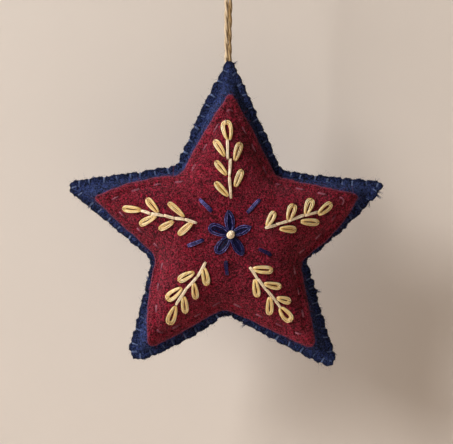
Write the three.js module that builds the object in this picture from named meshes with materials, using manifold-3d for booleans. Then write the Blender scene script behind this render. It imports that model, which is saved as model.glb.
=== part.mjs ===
// A stuffed felt star to hang on a tree or a wall. Two navy felt stars are sewn edge to edge
// round a pad of wadding, a maroon felt star is stitched to the face, sprigs and a flower are
// embroidered on it, and a doubled jute cord comes out of the top point and ends in an eye.
// Millimetres, +Z up, the face looks along -Y. The origin is the centre of the peg or twig
// that the eye hangs over.
import * as THREE from 'three';
import { mergeVertices } from 'three/addons/utils/BufferGeometryUtils.js';
import Module from 'manifold-3d';

const wasm = await Module();
wasm.setup();

// Felt, clearances and the stuffing
const feltThickness = 1.2;
const clearance = 0.3;
const seamWidth = 2.0;
const puffHeight = 7.8;
const puffRoundness = 2.2;

// Navy star: centre to the sharp points that its cut edges aim at, their rounding, and how far
// each side bows out, clockwise from the top point
const starReach = 57.0;
const starNotch = 26.3;
const starTipRadius = 2.8;
const starNotchRadius = 3.2;
const starTipShares = [1.01, 0.945, 1.035, 1.005, 0.975];
const starTipRadiusShares = [1.0, 0.95, 1.23, 1.61, 0.93];
const starNotchShares = [0.94, 1.0, 1.01, 1.0, 1.0];
const starTipLeans = [0, -1.8, 1.6, -0.1, 2.6];
const starNotchLeans = [-4.0, -2.6, -1.6, 2.4, 3.4];
const starSideBows = [0, 0, 0.4, 0, 0.2, 0.4, 0, 0, 0, 0.1];

// Maroon star on the face, measured from the navy star's centre
const appliqueReach = 46.0;
const appliqueNotch = 24.6;
const appliqueTipRadius = 1.8;
const appliqueNotchRadius = 4.6;
const appliqueTipShares = [0.967, 0.951, 1.045, 1.027, 0.982];
const appliqueTipRadiusShares = [0.72, 0.72, 1.18, 1.29, 0.7];
const appliqueNotchShares = [0.921, 1.011, 1.026, 1.015, 0.956];
const appliqueTipLeans = [-0.4, -3.3, -0.2, 1.5, 4.5];
const appliqueNotchLeans = [-5.3, -7.2, -3.9, 1.6, 5.0];
const appliqueSideBows = [0.4, 0, 1.0, 0, 0, 0, 0.9, 0, 1.3, 0.4];

// Threads: half their thickness, and how the two seams are spaced
const edgeThreadRadius = 0.3;
const rimThreadRadius = 0.26;
const rimThreadLift = 0.08;
const edgeStitchPitch = 4.1;
const edgeStitchDepth = 2.1;
const edgeStitchWanderShare = 0.16;
const runningThreadRadius = 0.25;
const runningStitchPitch = 7.2;
const runningStitchInset = 2.7;
const runningStitchLift = 0.62;
const grooveDepth = 0.85;
const grooveHalfWidth = 1.1;

// Embroidery floss: half widths as it lies, and half thicknesses
const leafFlossHalfWidth = 0.42;
const leafFlossHalfHeight = 0.36;
const stemFlossHalfWidth = 0.5;
const petalFlossHalfWidth = 0.45;
const rayHalfWidth = 0.62;
const rayHalfHeight = 0.34;
const flowerKnotRadius = 1.35;
const flowerKnotHeight = 1.5;

// Jute cord: its size, the eye at the top, the knot under it and the doubled legs
const cordDiameter = 1.35;
const eyeInnerRadius = 3.3;
const eyeDrop = 14.0;
const knotRadius = 2.1;
const knotHeight = 4.6;
const legLength = 32.0;
const tailLength = 12.5;
const tailHalfWidth = 0.95;
const tailHalfHeight = 0.5;
const tailKnotRadius = 1.5;
const tailRoomHalfWidth = 2.6;

// How finely curves are cut into flats
const armCount = 5;
const tipSteps = 4;
const notchSteps = 2;
const sideSteps = 3;
const innerRingShares = [0.22, 0.44, 0.65];
const marginRingShares = [0.5, 1];
const stationsPerStitch = 4;
const cordSides = 8;
const legSteps = 8;
const eyeSteps = 26;
const knotSides = 12;
const stopperSides = 10;
const loopStations = 8;
const sliverWidth = 0.03;

const navy = new THREE.MeshStandardMaterial({ name: 'navy_felt', color: 0x27304f, roughness: 0.95 });
const maroon = new THREE.MeshStandardMaterial({ name: 'maroon_felt', color: 0x77262c, roughness: 0.95 });
const wadding = new THREE.MeshStandardMaterial({ name: 'wadding', color: 0xeeeae2, roughness: 1.0 });
const navyThread = new THREE.MeshStandardMaterial({ name: 'navy_thread', color: 0x4d5f8f, roughness: 0.7 });
const maroonThread = new THREE.MeshStandardMaterial({
  name: 'maroon_thread',
  color: 0x8c3540,
  roughness: 0.7,
});
const goldFloss = new THREE.MeshStandardMaterial({ name: 'gold_floss', color: 0xd4b36a, roughness: 0.55 });
const blueFloss = new THREE.MeshStandardMaterial({ name: 'blue_floss', color: 0x343c86, roughness: 0.55 });
const jute = new THREE.MeshStandardMaterial({ name: 'jute', color: 0x9e815c, roughness: 0.9 });

// Places of the stitches, read off a straight-on view in its pixels, y down
const viewCentre = [229.2, 229.7];
const appliqueReachPixels = 143.1;
const sprigPixels = {
  sprig_top: {
    stem: [[227.3, 139], [228, 157], [230, 170], [230.5, 185], [231.2, 199]],
    leaves: [
      { tip: [225.7, 120.3], base: [227.6, 140], width: 12 },
      { tip: [214.5, 139.9], base: [227.4, 156.2], width: 8 },
      { tip: [240.4, 142.3], base: [229.8, 162.6], width: 8 },
      { tip: [215.3, 161], base: [230, 177.5], width: 8 },
      { tip: [242, 169.4], base: [230.9, 188.5], width: 8 },
      { tip: [214.9, 182.1], base: [230.6, 197], width: 8 },
    ],
  },
  sprig_right: {
    stem: [[264.7, 227.9], [276, 225], [287.5, 221.6], [298, 217.5], [305.4, 214.5], [318.8, 211.8]],
    leaves: [
      { tip: [331.7, 202.9], base: [318.3, 212.5], width: 9 },
      { tip: [274.6, 211.3], base: [267, 227.3], width: 8 },
      { tip: [293.8, 203.8], base: [288, 221.4], width: 10 },
      { tip: [311.6, 198.4], base: [305.6, 214.4], width: 10 },
      { tip: [297.4, 231.4], base: [279.9, 224], width: 8 },
      { tip: [319.2, 222.9], base: [300.9, 216.4], width: 8 },
    ],
  },
  sprig_lower_right: {
    stem: [[249.5, 266.5], [257.4, 278.1], [265.7, 288.9], [276.4, 301.4], [280.6, 307.2]],
    leaves: [
      { tip: [291.4, 321.3], base: [280.2, 307], width: 11 },
      { tip: [273.1, 270.3], base: [252.3, 270.5], width: 9 },
      { tip: [281.4, 286.9], base: [262.4, 284.6], width: 8 },
      { tip: [290.9, 301.8], base: [273.6, 298], width: 8 },
      { tip: [257.4, 297.2], base: [257, 277.6], width: 8 },
      { tip: [269.4, 315], base: [270.5, 294.5], width: 8 },
    ],
  },
  sprig_lower_left: {
    stem: [[206.2, 261.6], [197.1, 277.3], [191.5, 283.5], [186.3, 288.9], [175.6, 305.5]],
    leaves: [
      { tip: [168.9, 324.6], base: [175.9, 305.2], width: 10 },
      { tip: [178, 280.6], base: [198.5, 274.8], width: 9 },
      { tip: [166.4, 299.7], base: [186.3, 288.9], width: 10 },
      { tip: [207.1, 285.6], base: [203, 267.1], width: 8.5 },
      { tip: [195.9, 299.3], base: [193, 282], width: 8 },
      { tip: [185.5, 313.4], base: [182.5, 294.6], width: 8 },
    ],
  },
  sprig_left: {
    stem: [[140.5, 210.1], [153.5, 214], [163.6, 215.6], [174.3, 218.1], [183.7, 220], [196.4, 222.8]],
    leaves: [
      { tip: [122.4, 208.4], base: [141.1, 210.3], width: 8 },
      { tip: [146.5, 198.4], base: [157.4, 214.6], width: 8 },
      { tip: [168.3, 202.4], base: [184.5, 220], width: 8 },
      { tip: [139.5, 224.8], base: [156, 214.4], width: 8 },
      { tip: [158.9, 229.5], base: [173.8, 218], width: 8 },
      { tip: [178.3, 234.9], base: [192.4, 222], width: 8 },
    ],
  },
};
const flowerPixels = [230.9, 234.8];
const petalPixels = [
  { tip: [228.6, 210.6], width: 11 },
  { tip: [250.6, 227.2], width: 11 },
  { tip: [243.4, 255.3], width: 11 },
  { tip: [216.1, 253.3], width: 11 },
  { tip: [208.5, 227.2], width: 11 },
];
const rayPixels = [
  [[212.3, 211.9], [198.9, 198.5]],
  [[246.8, 213.2], [260.8, 198.5]],
  [[258.4, 248.6], [272, 255.4]],
  [[225.7, 260.4], [227, 275.7]],
  [[204.4, 239.6], [187, 246.3]],
];

// Star outlines

function polar(radius, degrees) {
  const angle = THREE.MathUtils.degToRad(degrees);
  return new THREE.Vector2(radius * Math.cos(angle), radius * Math.sin(angle));
}

// The ten sharp corners, clockwise from the top point, each with the radius that rounds it
function starCorners(tips, notches) {
  const armAngle = 360 / armCount;
  const corners = [];
  for (let arm = 0; arm < armCount; arm += 1) {
    const tipAngle = 90 - arm * armAngle + tips.leans[arm];
    const notchAngle = 90 - (arm + 0.5) * armAngle + notches.leans[arm];
    corners.push({
      at: polar(tips.reach * tips.shares[arm], tipAngle),
      radius: tips.radius * tips.radiusShares[arm],
      steps: tipSteps,
    });
    corners.push({
      at: polar(notches.reach * notches.shares[arm], notchAngle),
      radius: notches.radius,
      steps: notchSteps,
    });
  }
  return corners;
}

// Points on the arc that rounds one corner, from the side that comes in to the side that goes out
function cornerArc(before, corner, after) {
  const inward = before.clone().sub(corner.at).normalize();
  const outward = after.clone().sub(corner.at).normalize();
  const halfAngle = Math.acos(inward.dot(outward)) / 2;
  const bisector = inward.clone().add(outward).normalize();
  const centre = corner.at.clone().addScaledVector(bisector, corner.radius / Math.sin(halfAngle));
  const start = corner.at.clone().addScaledVector(inward, corner.radius / Math.tan(halfAngle));
  const sweep = Math.PI - 2 * halfAngle;
  const turn = Math.sign(outward.cross(inward));
  const spoke = start.sub(centre);
  const points = [];
  for (let step = 0; step <= corner.steps; step += 1) {
    const point = spoke.clone().rotateAround(new THREE.Vector2(), turn * sweep * (step / corner.steps));
    points.push(point.add(centre));
  }
  return points;
}

// A side from one corner's arc to the next, cut into equal steps and bowed out in its middle
function bowedSide(start, end, bow) {
  const outward = new THREE.Vector2(start.y - end.y, end.x - start.x).normalize();
  const points = [];
  for (let step = 1; step < sideSteps; step += 1) {
    const share = step / sideSteps;
    points.push(start.clone().lerp(end, share).addScaledVector(outward, 4 * bow * share * (1 - share)));
  }
  return points;
}

// The rounded outline: every corner's arc, with the side that follows it
function roundedOutline(corners, bows) {
  const count = corners.length;
  const arcs = corners.map((corner, index) =>
    cornerArc(corners[(index + count - 1) % count].at, corner, corners[(index + 1) % count].at));
  const outline = [];
  arcs.forEach((arc, index) => {
    outline.push(...arc);
    outline.push(...bowedSide(arc[arc.length - 1], arcs[(index + 1) % count][0], bows[index]));
  });
  return outline;
}

const starSharp = starCorners(
  {
    reach: starReach,
    radius: starTipRadius,
    shares: starTipShares,
    radiusShares: starTipRadiusShares,
    leans: starTipLeans,
  },
  { reach: starNotch, radius: starNotchRadius, shares: starNotchShares, leans: starNotchLeans },
);
const appliqueSharp = starCorners(
  {
    reach: appliqueReach,
    radius: appliqueTipRadius,
    shares: appliqueTipShares,
    radiusShares: appliqueTipRadiusShares,
    leans: appliqueTipLeans,
  },
  {
    reach: appliqueNotch,
    radius: appliqueNotchRadius,
    shares: appliqueNotchShares,
    leans: appliqueNotchLeans,
  },
);
const starOutline = roundedOutline(starSharp, starSideBows);
const appliqueOutline = roundedOutline(appliqueSharp, appliqueSideBows);
const topPoint = Math.max(...starOutline.map((point) => point.y));

// How far a point lies from the sewn edge, as a smooth mean over all ten sides
function reachFromEdge(point) {
  let pull = 0;
  starSharp.forEach((corner, index) => {
    const start = corner.at;
    const end = starSharp[(index + 1) % starSharp.length].at;
    const along = end.clone().sub(start).normalize();
    const offset = point.clone().sub(start);
    const aside = Math.max(Math.abs(along.cross(offset)), Number.EPSILON);
    const first = -along.dot(offset);
    const last = first + end.distanceTo(start);
    pull += (last / Math.hypot(aside, last) - first / Math.hypot(aside, first)) / aside ** 2;
  });
  return Math.sqrt(2 / pull);
}

const deepestReach = reachFromEdge(new THREE.Vector2());

// Height of the navy felt's inner face over the middle plane: the puff of the wadding, and at
// the top point the room that the cord's tail needs between the two felts
function feltRise(point) {
  const depth = Math.max(0, reachFromEdge(point) - seamWidth) / (deepestReach - seamWidth);
  const puff = puffHeight * (1 - (1 - Math.min(1, depth)) ** puffRoundness);
  const tailRoom = tailHalfHeight + clearance / 2;
  const tailShare = point.y > 0 ? Math.max(0, 1 - Math.abs(point.x) / tailRoomHalfWidth) : 0;
  return Math.max(puff, tailRoom * tailShare);
}

// One grid of rings serves every layer, so neighbouring faces stay parallel facet by facet
const sideReach = Math.abs(appliqueSharp[0].at.cross(appliqueSharp[1].at))
  / appliqueSharp[0].at.distanceTo(appliqueSharp[1].at);
const grooveShare = 1 - runningStitchInset / sideReach;
const grooveLipShare = grooveHalfWidth / sideReach;
const grooveRingShares = [grooveShare - grooveLipShare, grooveShare, grooveShare + grooveLipShare];
const ringShares = [...innerRingShares, ...grooveRingShares, 1];
const grooveRingIndex = ringShares.indexOf(grooveShare);
const waddingRingCount = grooveRingIndex;
const appliqueRingCount = ringShares.length;
const starRingCount = appliqueRingCount + marginRingShares.length;

function gridPoint(at) {
  return { at, rise: feltRise(at) };
}

function innerRing(share) {
  return appliqueOutline.map((point) => gridPoint(point.clone().multiplyScalar(share)));
}

function marginRing(share) {
  return appliqueOutline.map((point, index) => gridPoint(point.clone().lerp(starOutline[index], share)));
}

const rings = [...ringShares.map(innerRing), ...marginRingShares.map(marginRing)];
const ringPointCount = starOutline.length;
const gridCentre = gridPoint(new THREE.Vector2());

// Corner numbers of the triangles that cover the first rings of the grid, seen from the face
function gridTriangles(ringCount) {
  const triangles = [];
  const place = (ring, index) => 1 + ring * ringPointCount + (index % ringPointCount);
  for (let index = 0; index < ringPointCount; index += 1) {
    triangles.push([0, place(0, index + 1), place(0, index)]);
    for (let ring = 0; ring < ringCount - 1; ring += 1) {
      const inner = [place(ring, index), place(ring, index + 1)];
      const outer = [place(ring + 1, index), place(ring + 1, index + 1)];
      triangles.push([inner[0], inner[1], outer[1]], [inner[0], outer[1], outer[0]]);
    }
  }
  return triangles;
}

const gridPoints = [gridCentre, ...rings.flat()];
const coverTriangles = gridTriangles(starRingCount);

// Felt rise on the facets of the grid at any place inside the star, or at its rim outside
function riseAt(point) {
  for (const [a, b, c] of coverTriangles) {
    const corners = [gridPoints[a], gridPoints[b], gridPoints[c]];
    const [p, q, r] = corners.map((corner) => corner.at);
    const whole = q.clone().sub(p).cross(r.clone().sub(p));
    const shareQ = point.clone().sub(p).cross(r.clone().sub(p)) / whole;
    const shareR = q.clone().sub(p).cross(point.clone().sub(p)) / whole;
    const shareP = 1 - shareQ - shareR;
    const slack = -1e-9;
    if (shareP >= slack && shareQ >= slack && shareR >= slack) {
      return shareP * corners[0].rise + shareQ * corners[1].rise + shareR * corners[2].rise;
    }
  }
  return 0;
}

// Depth of each face in front of the middle plane, over the felt rise
const feltInnerFace = clearance / 2;
const feltOuterFace = feltInnerFace + feltThickness;
const appliqueBackFace = feltOuterFace + clearance;
const appliqueFace = appliqueBackFace + feltThickness;

// Solids

function geometryFrom(positions, triangles) {
  const coordinates = positions.flatMap((point) => [point.x, point.y, point.z]);
  const geometry = new THREE.BufferGeometry();
  geometry.setAttribute('position', new THREE.Float32BufferAttribute(coordinates, 3));
  let volume = 0;
  for (const [a, b, c] of triangles) {
    volume += positions[a].dot(positions[b].clone().cross(positions[c]));
  }
  const outward = volume > 0 ? triangles : triangles.map(([a, b, c]) => [a, c, b]);
  geometry.setIndex(outward.flat());
  geometry.computeVertexNormals();
  return geometry;
}

// A closed layer between two faces of the grid's first rings; a face is given as the depth of
// a grid point in front of the middle plane
function layerGeometry(ringCount, frontDepth, backDepth) {
  const used = gridPoints.slice(0, 1 + ringCount * ringPointCount);
  const faceAt = (depthOf) => used.map((point, index) =>
    new THREE.Vector3(point.at.x, -depthOf(point, index), point.at.y));
  const front = faceAt(frontDepth);
  const back = faceAt(backDepth);
  const cover = gridTriangles(ringCount);
  const shift = used.length;
  const triangles = [...cover, ...cover.map(([a, b, c]) => [a + shift, c + shift, b + shift])];
  const rim = 1 + (ringCount - 1) * ringPointCount;
  for (let index = 0; index < ringPointCount; index += 1) {
    const here = rim + index;
    const next = rim + ((index + 1) % ringPointCount);
    triangles.push([here, next, next + shift], [here, next + shift, here + shift]);
  }
  return geometryFrom([...front, ...back], triangles);
}

// Thread sections as shares of the half width and half height: floss that is pressed flat on
// the felt has a ridge, a thread drawn into a groove is a wedge, and one that lies free along
// the rim is a diamond
const ridgeSectionShares = [[1, -1], [0, 1], [-1, -1]];
const wedgeSectionShares = [[1, 0.6], [-1, 0.6], [0, -1]];
const diamondSectionShares = [[1, 0], [0, 1], [-1, 0], [0, -1]];

// A thread through a list of stations. Its flanks lie along flank, or across the thread in the
// plane of the face where none is given.
function threadGeometry(stations, halfWidth, halfHeight, options = {}) {
  const { closed = false, flank = null, section = ridgeSectionShares } = options;
  const faceNormal = new THREE.Vector3(0, -1, 0);
  const count = stations.length;
  const positions = [];
  const triangles = [];
  stations.forEach((station, index) => {
    const before = closed ? stations[(index + count - 1) % count] : stations[Math.max(0, index - 1)];
    const after = closed ? stations[(index + 1) % count] : stations[Math.min(count - 1, index + 1)];
    const into = station.clone().sub(before).normalize();
    const outOf = after.clone().sub(station).normalize();
    const tangent = into.clone().add(outOf).normalize();
    const mitre = 1 / Math.max(Math.SQRT1_2, tangent.dot(index === 0 && !closed ? outOf : into) || 1);
    const side = flank ? flank.clone() : tangent.clone().cross(faceNormal).normalize();
    const up = side.clone().cross(tangent).normalize();
    const sideReachHere = halfWidth * (flank ? 1 : mitre);
    const upReachHere = halfHeight * (flank ? mitre : 1);
    section.forEach(([across, above]) => {
      const corner = station.clone().addScaledVector(side, across * sideReachHere);
      positions.push(corner.addScaledVector(up, above * upReachHere));
    });
  });
  const corners = section.length;
  const spans = closed ? count : count - 1;
  for (let span = 0; span < spans; span += 1) {
    for (let corner = 0; corner < corners; corner += 1) {
      const a = span * corners + corner;
      const b = span * corners + ((corner + 1) % corners);
      const c = ((span + 1) % count) * corners + ((corner + 1) % corners);
      const d = ((span + 1) % count) * corners + corner;
      triangles.push([a, b, c], [a, c, d]);
    }
  }
  if (!closed) {
    const end = (count - 1) * corners;
    for (let corner = 2; corner < corners; corner += 1) {
      triangles.push([0, corner, corner - 1], [end, end + corner - 1, end + corner]);
    }
  }
  return geometryFrom(positions, triangles);
}

function solidOf(geometry) {
  const bare = geometry.clone();
  bare.deleteAttribute('normal');
  bare.deleteAttribute('uv');
  const merged = mergeVertices(bare, 1e-4);
  return new wasm.Manifold(new wasm.Mesh({
    numProp: 3,
    vertProperties: new Float32Array(merged.attributes.position.array),
    triVerts: new Uint32Array(merged.index.array),
  }));
}

// One solid from pieces that cross, without the slivers that crossings leave
function joined(geometries) {
  const whole = geometries.map(solidOf).reduce((sum, solid) => sum.add(solid)).simplify(sliverWidth);
  const mesh = whole.getMesh();
  const geometry = new THREE.BufferGeometry();
  geometry.setAttribute('position', new THREE.BufferAttribute(mesh.vertProperties, 3));
  geometry.setIndex(new THREE.BufferAttribute(mesh.triVerts, 1));
  geometry.computeVertexNormals();
  return geometry;
}

// Felt stars, wadding and appliqué

const frontFelt = layerGeometry(starRingCount,
  (p) => p.rise + feltOuterFace,
  (p) => p.rise + feltInnerFace);
const backFelt = layerGeometry(starRingCount,
  (p) => -(p.rise + feltInnerFace),
  (p) => -(p.rise + feltOuterFace));
const pad = layerGeometry(waddingRingCount,
  (p) => p.rise + feltInnerFace - clearance,
  (p) => -(p.rise + feltInnerFace - clearance));

function isGroove(index) {
  return Math.floor((index - 1) / ringPointCount) === grooveRingIndex && index > 0;
}

const applique = layerGeometry(appliqueRingCount,
  (p, index) => p.rise + appliqueFace - (isGroove(index) ? grooveDepth : 0),
  (p) => p.rise + appliqueBackFace);

// Edge stitching: one thread along the rim, and at each stitch a leg over both faces

// Turns per stitch, in radians, that make the hand's wander look unplanned
const wanderTurns = [2.4, 0.9];

// Places every pitch along a closed outline, with the direction across and along its edge
function placesAlong(outline, pitch, wanderShare) {
  const lengths = outline.map((point, index) => point.distanceTo(outline[(index + 1) % outline.length]));
  const total = lengths.reduce((sum, length) => sum + length);
  const count = Math.round(total / pitch);
  const places = [];
  for (let stitch = 0; stitch < count; stitch += 1) {
    const wander = wanderShare * Math.sin(stitch * wanderTurns[0]) * Math.cos(stitch * wanderTurns[1]);
    let rest = ((stitch + 0.5 + wander) / count) * total;
    let side = 0;
    while (side < lengths.length - 1 && rest > lengths[side]) {
      rest -= lengths[side];
      side += 1;
    }
    places.push(placeOn(outline, side, rest / lengths[side]));
  }
  return places;
}

function placeOn(outline, side, share) {
  const start = outline[side];
  const end = outline[(side + 1) % outline.length];
  const along = end.clone().sub(start).normalize();
  const outward = new THREE.Vector2(-along.y, along.x);
  return { at: start.clone().lerp(end, share), along, outward, order: side + share };
}

function distanceToOutline(point, outline) {
  return Math.min(...outline.map((start, index) => {
    const side = outline[(index + 1) % outline.length].clone().sub(start);
    const share = THREE.MathUtils.clamp(point.clone().sub(start).dot(side) / side.lengthSq(), 0, 1);
    return point.distanceTo(start.clone().addScaledVector(side, share));
  }));
}

const threadStandOff = clearance + edgeThreadRadius;

function edgeStation(place, depth, across) {
  const at = place.at.clone().addScaledVector(place.outward, across);
  return new THREE.Vector3(at.x, -depth, at.y);
}

// A leg starts on the face, turns over the rim and ends on the back
function edgeLeg(place) {
  const room = distanceToOutline(place.at, appliqueOutline) - clearance - edgeThreadRadius;
  const length = Math.min(edgeStitchDepth, room);
  const inner = place.at.clone().addScaledVector(place.outward, -length);
  const innerDepth = riseAt(inner) + feltOuterFace + threadStandOff;
  const rim = place.at.clone().addScaledVector(place.outward, -clearance);
  const rimDepth = riseAt(rim) + feltOuterFace + threadStandOff;
  const stations = [
    edgeStation(place, innerDepth, -length),
    edgeStation(place, rimDepth, threadStandOff),
    edgeStation(place, -rimDepth, threadStandOff),
    edgeStation(place, -innerDepth, -length),
  ];
  const flank = new THREE.Vector3(place.along.x, 0, place.along.y);
  return threadGeometry(stations, edgeThreadRadius, edgeThreadRadius, { flank });
}

// The rim thread leaves the top point open, where the cord's tail goes in
function edgeStitching() {
  const clearOfTail = tailHalfWidth + 2 * clearance + edgeThreadRadius;
  const isClear = (place) => place.at.y < topPoint - starTipRadius || Math.abs(place.at.x) > clearOfTail;
  const stitches = placesAlong(starOutline, edgeStitchPitch, edgeStitchWanderShare).filter(isClear);
  const bends = starOutline.map((point, side) => ({
    ...placeOn(starOutline, side, 0),
    outward: placeOn(starOutline, (side + ringPointCount - 1) % ringPointCount, 0).outward
      .add(placeOn(starOutline, side, 0).outward).normalize(),
  })).filter(isClear);
  const spaced = bends.filter((bend) =>
    stitches.every((stitch) => stitch.at.distanceTo(bend.at) > 2 * edgeThreadRadius));
  const middle = tipSteps / 2;
  const fromTop = (place) => (place.order - middle + ringPointCount) % ringPointCount;
  const run = [...stitches, ...spaced].sort((a, b) => fromTop(a) - fromTop(b));
  const rimThread = threadGeometry(run.map((place) => edgeStation(place, 0, threadStandOff + rimThreadLift)),
    rimThreadRadius, rimThreadRadius, { section: diamondSectionShares });
  return joined([rimThread, ...stitches.map(edgeLeg)]);
}

// Running stitch: one thread round the groove, up for each visible stitch and down between them

function runningStitching() {
  const path = rings[grooveRingIndex].map((point) => point.at);
  const stationPitch = runningStitchPitch / stationsPerStitch;
  const places = placesAlong(path, stationPitch, 0);
  const usable = places.slice(0, places.length - (places.length % stationsPerStitch));
  const lowest = appliqueFace - grooveDepth + clearance + runningThreadRadius;
  const stations = usable.map((place, index) => {
    const lift = index % stationsPerStitch < stationsPerStitch / 2 ? runningStitchLift : 0;
    return new THREE.Vector3(place.at.x, -(riseAt(place.at) + lowest + lift), place.at.y);
  });
  const options = { closed: true, section: wedgeSectionShares };
  return threadGeometry(stations, runningThreadRadius, runningThreadRadius, options);
}

// Embroidery

const pixel = appliqueReach / appliqueReachPixels;

function fromPixels([x, y]) {
  return new THREE.Vector2((x - viewCentre[0]) * pixel, (viewCentre[1] - y) * pixel);
}

function onFace(point, halfHeight) {
  return new THREE.Vector3(point.x, -(riseAt(point) + appliqueFace + clearance + halfHeight), point.y);
}

// A loop stitch: floss from its base round the tip and back, widest towards the tip
const loopBaseShare = 0.7;
const loopFlareShare = 0.4;

function loopStitch(base, tip, width, flossHalfWidth) {
  const axis = tip.clone().sub(base);
  const across = new THREE.Vector2(-axis.y, axis.x).normalize();
  const reach = axis.length() - flossHalfWidth;
  const spread = width / 2 - flossHalfWidth;
  const stations = [];
  for (let station = 0; station < loopStations; station += 1) {
    const angle = (2 * Math.PI * station) / loopStations;
    const alongShare = (1 - Math.cos(angle)) / 2;
    const acrossShare = Math.sin(angle) * (loopBaseShare + loopFlareShare * alongShare);
    const point = base.clone().addScaledVector(axis.clone().normalize(), reach * alongShare);
    stations.push(onFace(point.addScaledVector(across, spread * acrossShare), leafFlossHalfHeight));
  }
  return threadGeometry(stations, flossHalfWidth, leafFlossHalfHeight, { closed: true });
}

function sprig({ stem, leaves }) {
  const stations = stem.map((point) => onFace(fromPixels(point), leafFlossHalfHeight));
  const stitches = leaves.map((leaf) =>
    loopStitch(fromPixels(leaf.base), fromPixels(leaf.tip), leaf.width * pixel, leafFlossHalfWidth));
  return joined([threadGeometry(stations, stemFlossHalfWidth, leafFlossHalfHeight), ...stitches]);
}

// A petal starts clear of the knot and of its neighbours, on the line to its tip
function petal({ tip, width }) {
  const centre = fromPixels(flowerPixels);
  const end = fromPixels(tip);
  const start = flowerKnotRadius + clearance + petalFlossHalfWidth;
  const base = centre.clone().lerp(end, start / centre.distanceTo(end));
  return loopStitch(base, end, width * pixel, petalFlossHalfWidth);
}

function ray(ends) {
  const [inner, outer] = ends.map(fromPixels);
  const stations = [0, 0.5, 1].map((share) => onFace(inner.clone().lerp(outer, share), rayHalfHeight));
  return threadGeometry(stations, rayHalfWidth, rayHalfHeight);
}

// A french knot: a low round bead with a dimple where the needle went down
function flowerKnot() {
  const profileShares = [[0, 0], [0.8, 0], [1, 0.35], [0.86, 0.75], [0.45, 1], [0, 0.8]];
  const profile = profileShares.map(([r, h]) =>
    new THREE.Vector2(r * flowerKnotRadius, h * flowerKnotHeight));
  const bead = new THREE.LatheGeometry(profile, knotSides);
  const at = onFace(fromPixels(flowerPixels), 0);
  bead.rotateX(Math.PI);
  bead.translate(at.x, at.y, at.z);
  return bead;
}

// Cord: the eye over the peg, the knot, the two twisted legs and the tail between the felts

const cordRadius = cordDiameter / 2;
const legOffset = cordRadius + clearance / 2;
const eyeRadius = eyeInnerRadius + cordRadius;
const knotTop = -(Math.hypot(eyeDrop, legOffset + cordRadius) + clearance);
const legTop = knotTop - knotHeight - clearance;
const legBottom = legTop - legLength;
const starTop = legBottom - clearance;

function cordTube(points, steps) {
  const section = new THREE.Shape();
  for (let side = 0; side < cordSides; side += 1) {
    const corner = polar(cordRadius, (360 * side) / cordSides);
    if (side === 0) {
      section.moveTo(corner.x, corner.y);
    } else {
      section.lineTo(corner.x, corner.y);
    }
  }
  const extrudePath = new THREE.CatmullRomCurve3(points);
  return new THREE.ExtrudeGeometry(section, { steps, extrudePath, bevelEnabled: false });
}

// Down from the peg the eye narrows in a smooth wave until its sides lie together
function eyeSide(sign, share) {
  const spread = legOffset + (eyeRadius - legOffset) * (0.5 + 0.5 * Math.cos(Math.PI * share));
  return new THREE.Vector3(sign * spread, 0, -eyeDrop * share);
}

function hangerEye() {
  const sideShares = [1, 0.85, 0.7, 0.55, 0.4, 0.25, 0.12];
  const bendAngles = [180, 150, 120, 90, 60, 30, 0];
  const points = [
    ...sideShares.map((share) => eyeSide(-1, share)),
    ...bendAngles.map((angle) => new THREE.Vector3(polar(eyeRadius, angle).x, 0, polar(eyeRadius, angle).y)),
    ...sideShares.toReversed().map((share) => eyeSide(1, share)),
  ];
  return cordTube(points, eyeSteps);
}

function hangerKnot() {
  const lowerShares = [[0, 0], [0.6, 0], [0.95, 0.14], [1, 0.3], [0.84, 0.5]];
  const upperShares = [[1, 0.7], [0.95, 0.86], [0.6, 1], [0, 1]];
  const profileShares = [...lowerShares, ...upperShares];
  const profile = profileShares.map(([r, h]) => new THREE.Vector2(r * knotRadius, h * knotHeight));
  const knot = new THREE.LatheGeometry(profile, knotSides);
  knot.rotateX(Math.PI / 2);
  knot.translate(0, 0, knotTop - knotHeight);
  return knot;
}

// The two legs come down side by side from the knot to the star's top point
function cordLeg(sign) {
  const bottom = new THREE.Vector3(sign * legOffset, 0, legBottom);
  const top = new THREE.Vector3(sign * legOffset, 0, legTop);
  return cordTube([bottom, bottom.clone().lerp(top, 0.5), top], legSteps);
}

// The tail runs down between the felts to its stopper knot, which stays clear of the wadding
function cordTail() {
  const top = topPoint - clearance;
  const waddingTop = Math.max(...rings[waddingRingCount - 1].map((point) => point.at.y));
  const bottom = Math.max(top - tailLength, waddingTop + clearance) + tailKnotRadius;
  const band = new THREE.CylinderGeometry(1, 1, top - bottom, cordSides);
  band.rotateX(Math.PI / 2);
  band.scale(tailHalfWidth, tailHalfHeight, 1);
  band.translate(0, 0, (top + bottom) / 2);
  const stopper = new THREE.SphereGeometry(tailKnotRadius, stopperSides, stopperSides / 2);
  stopper.rotateX(Math.PI / 2);
  stopper.translate(0, 0, bottom);
  return joined([band, stopper]);
}

// Assembly

const ornament = new THREE.Group();
const star = new THREE.Group();
star.position.z = starTop - topPoint;
ornament.add(star);

function add(parent, name, geometry, material) {
  const mesh = new THREE.Mesh(geometry, material);
  mesh.name = name;
  parent.add(mesh);
}

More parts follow.
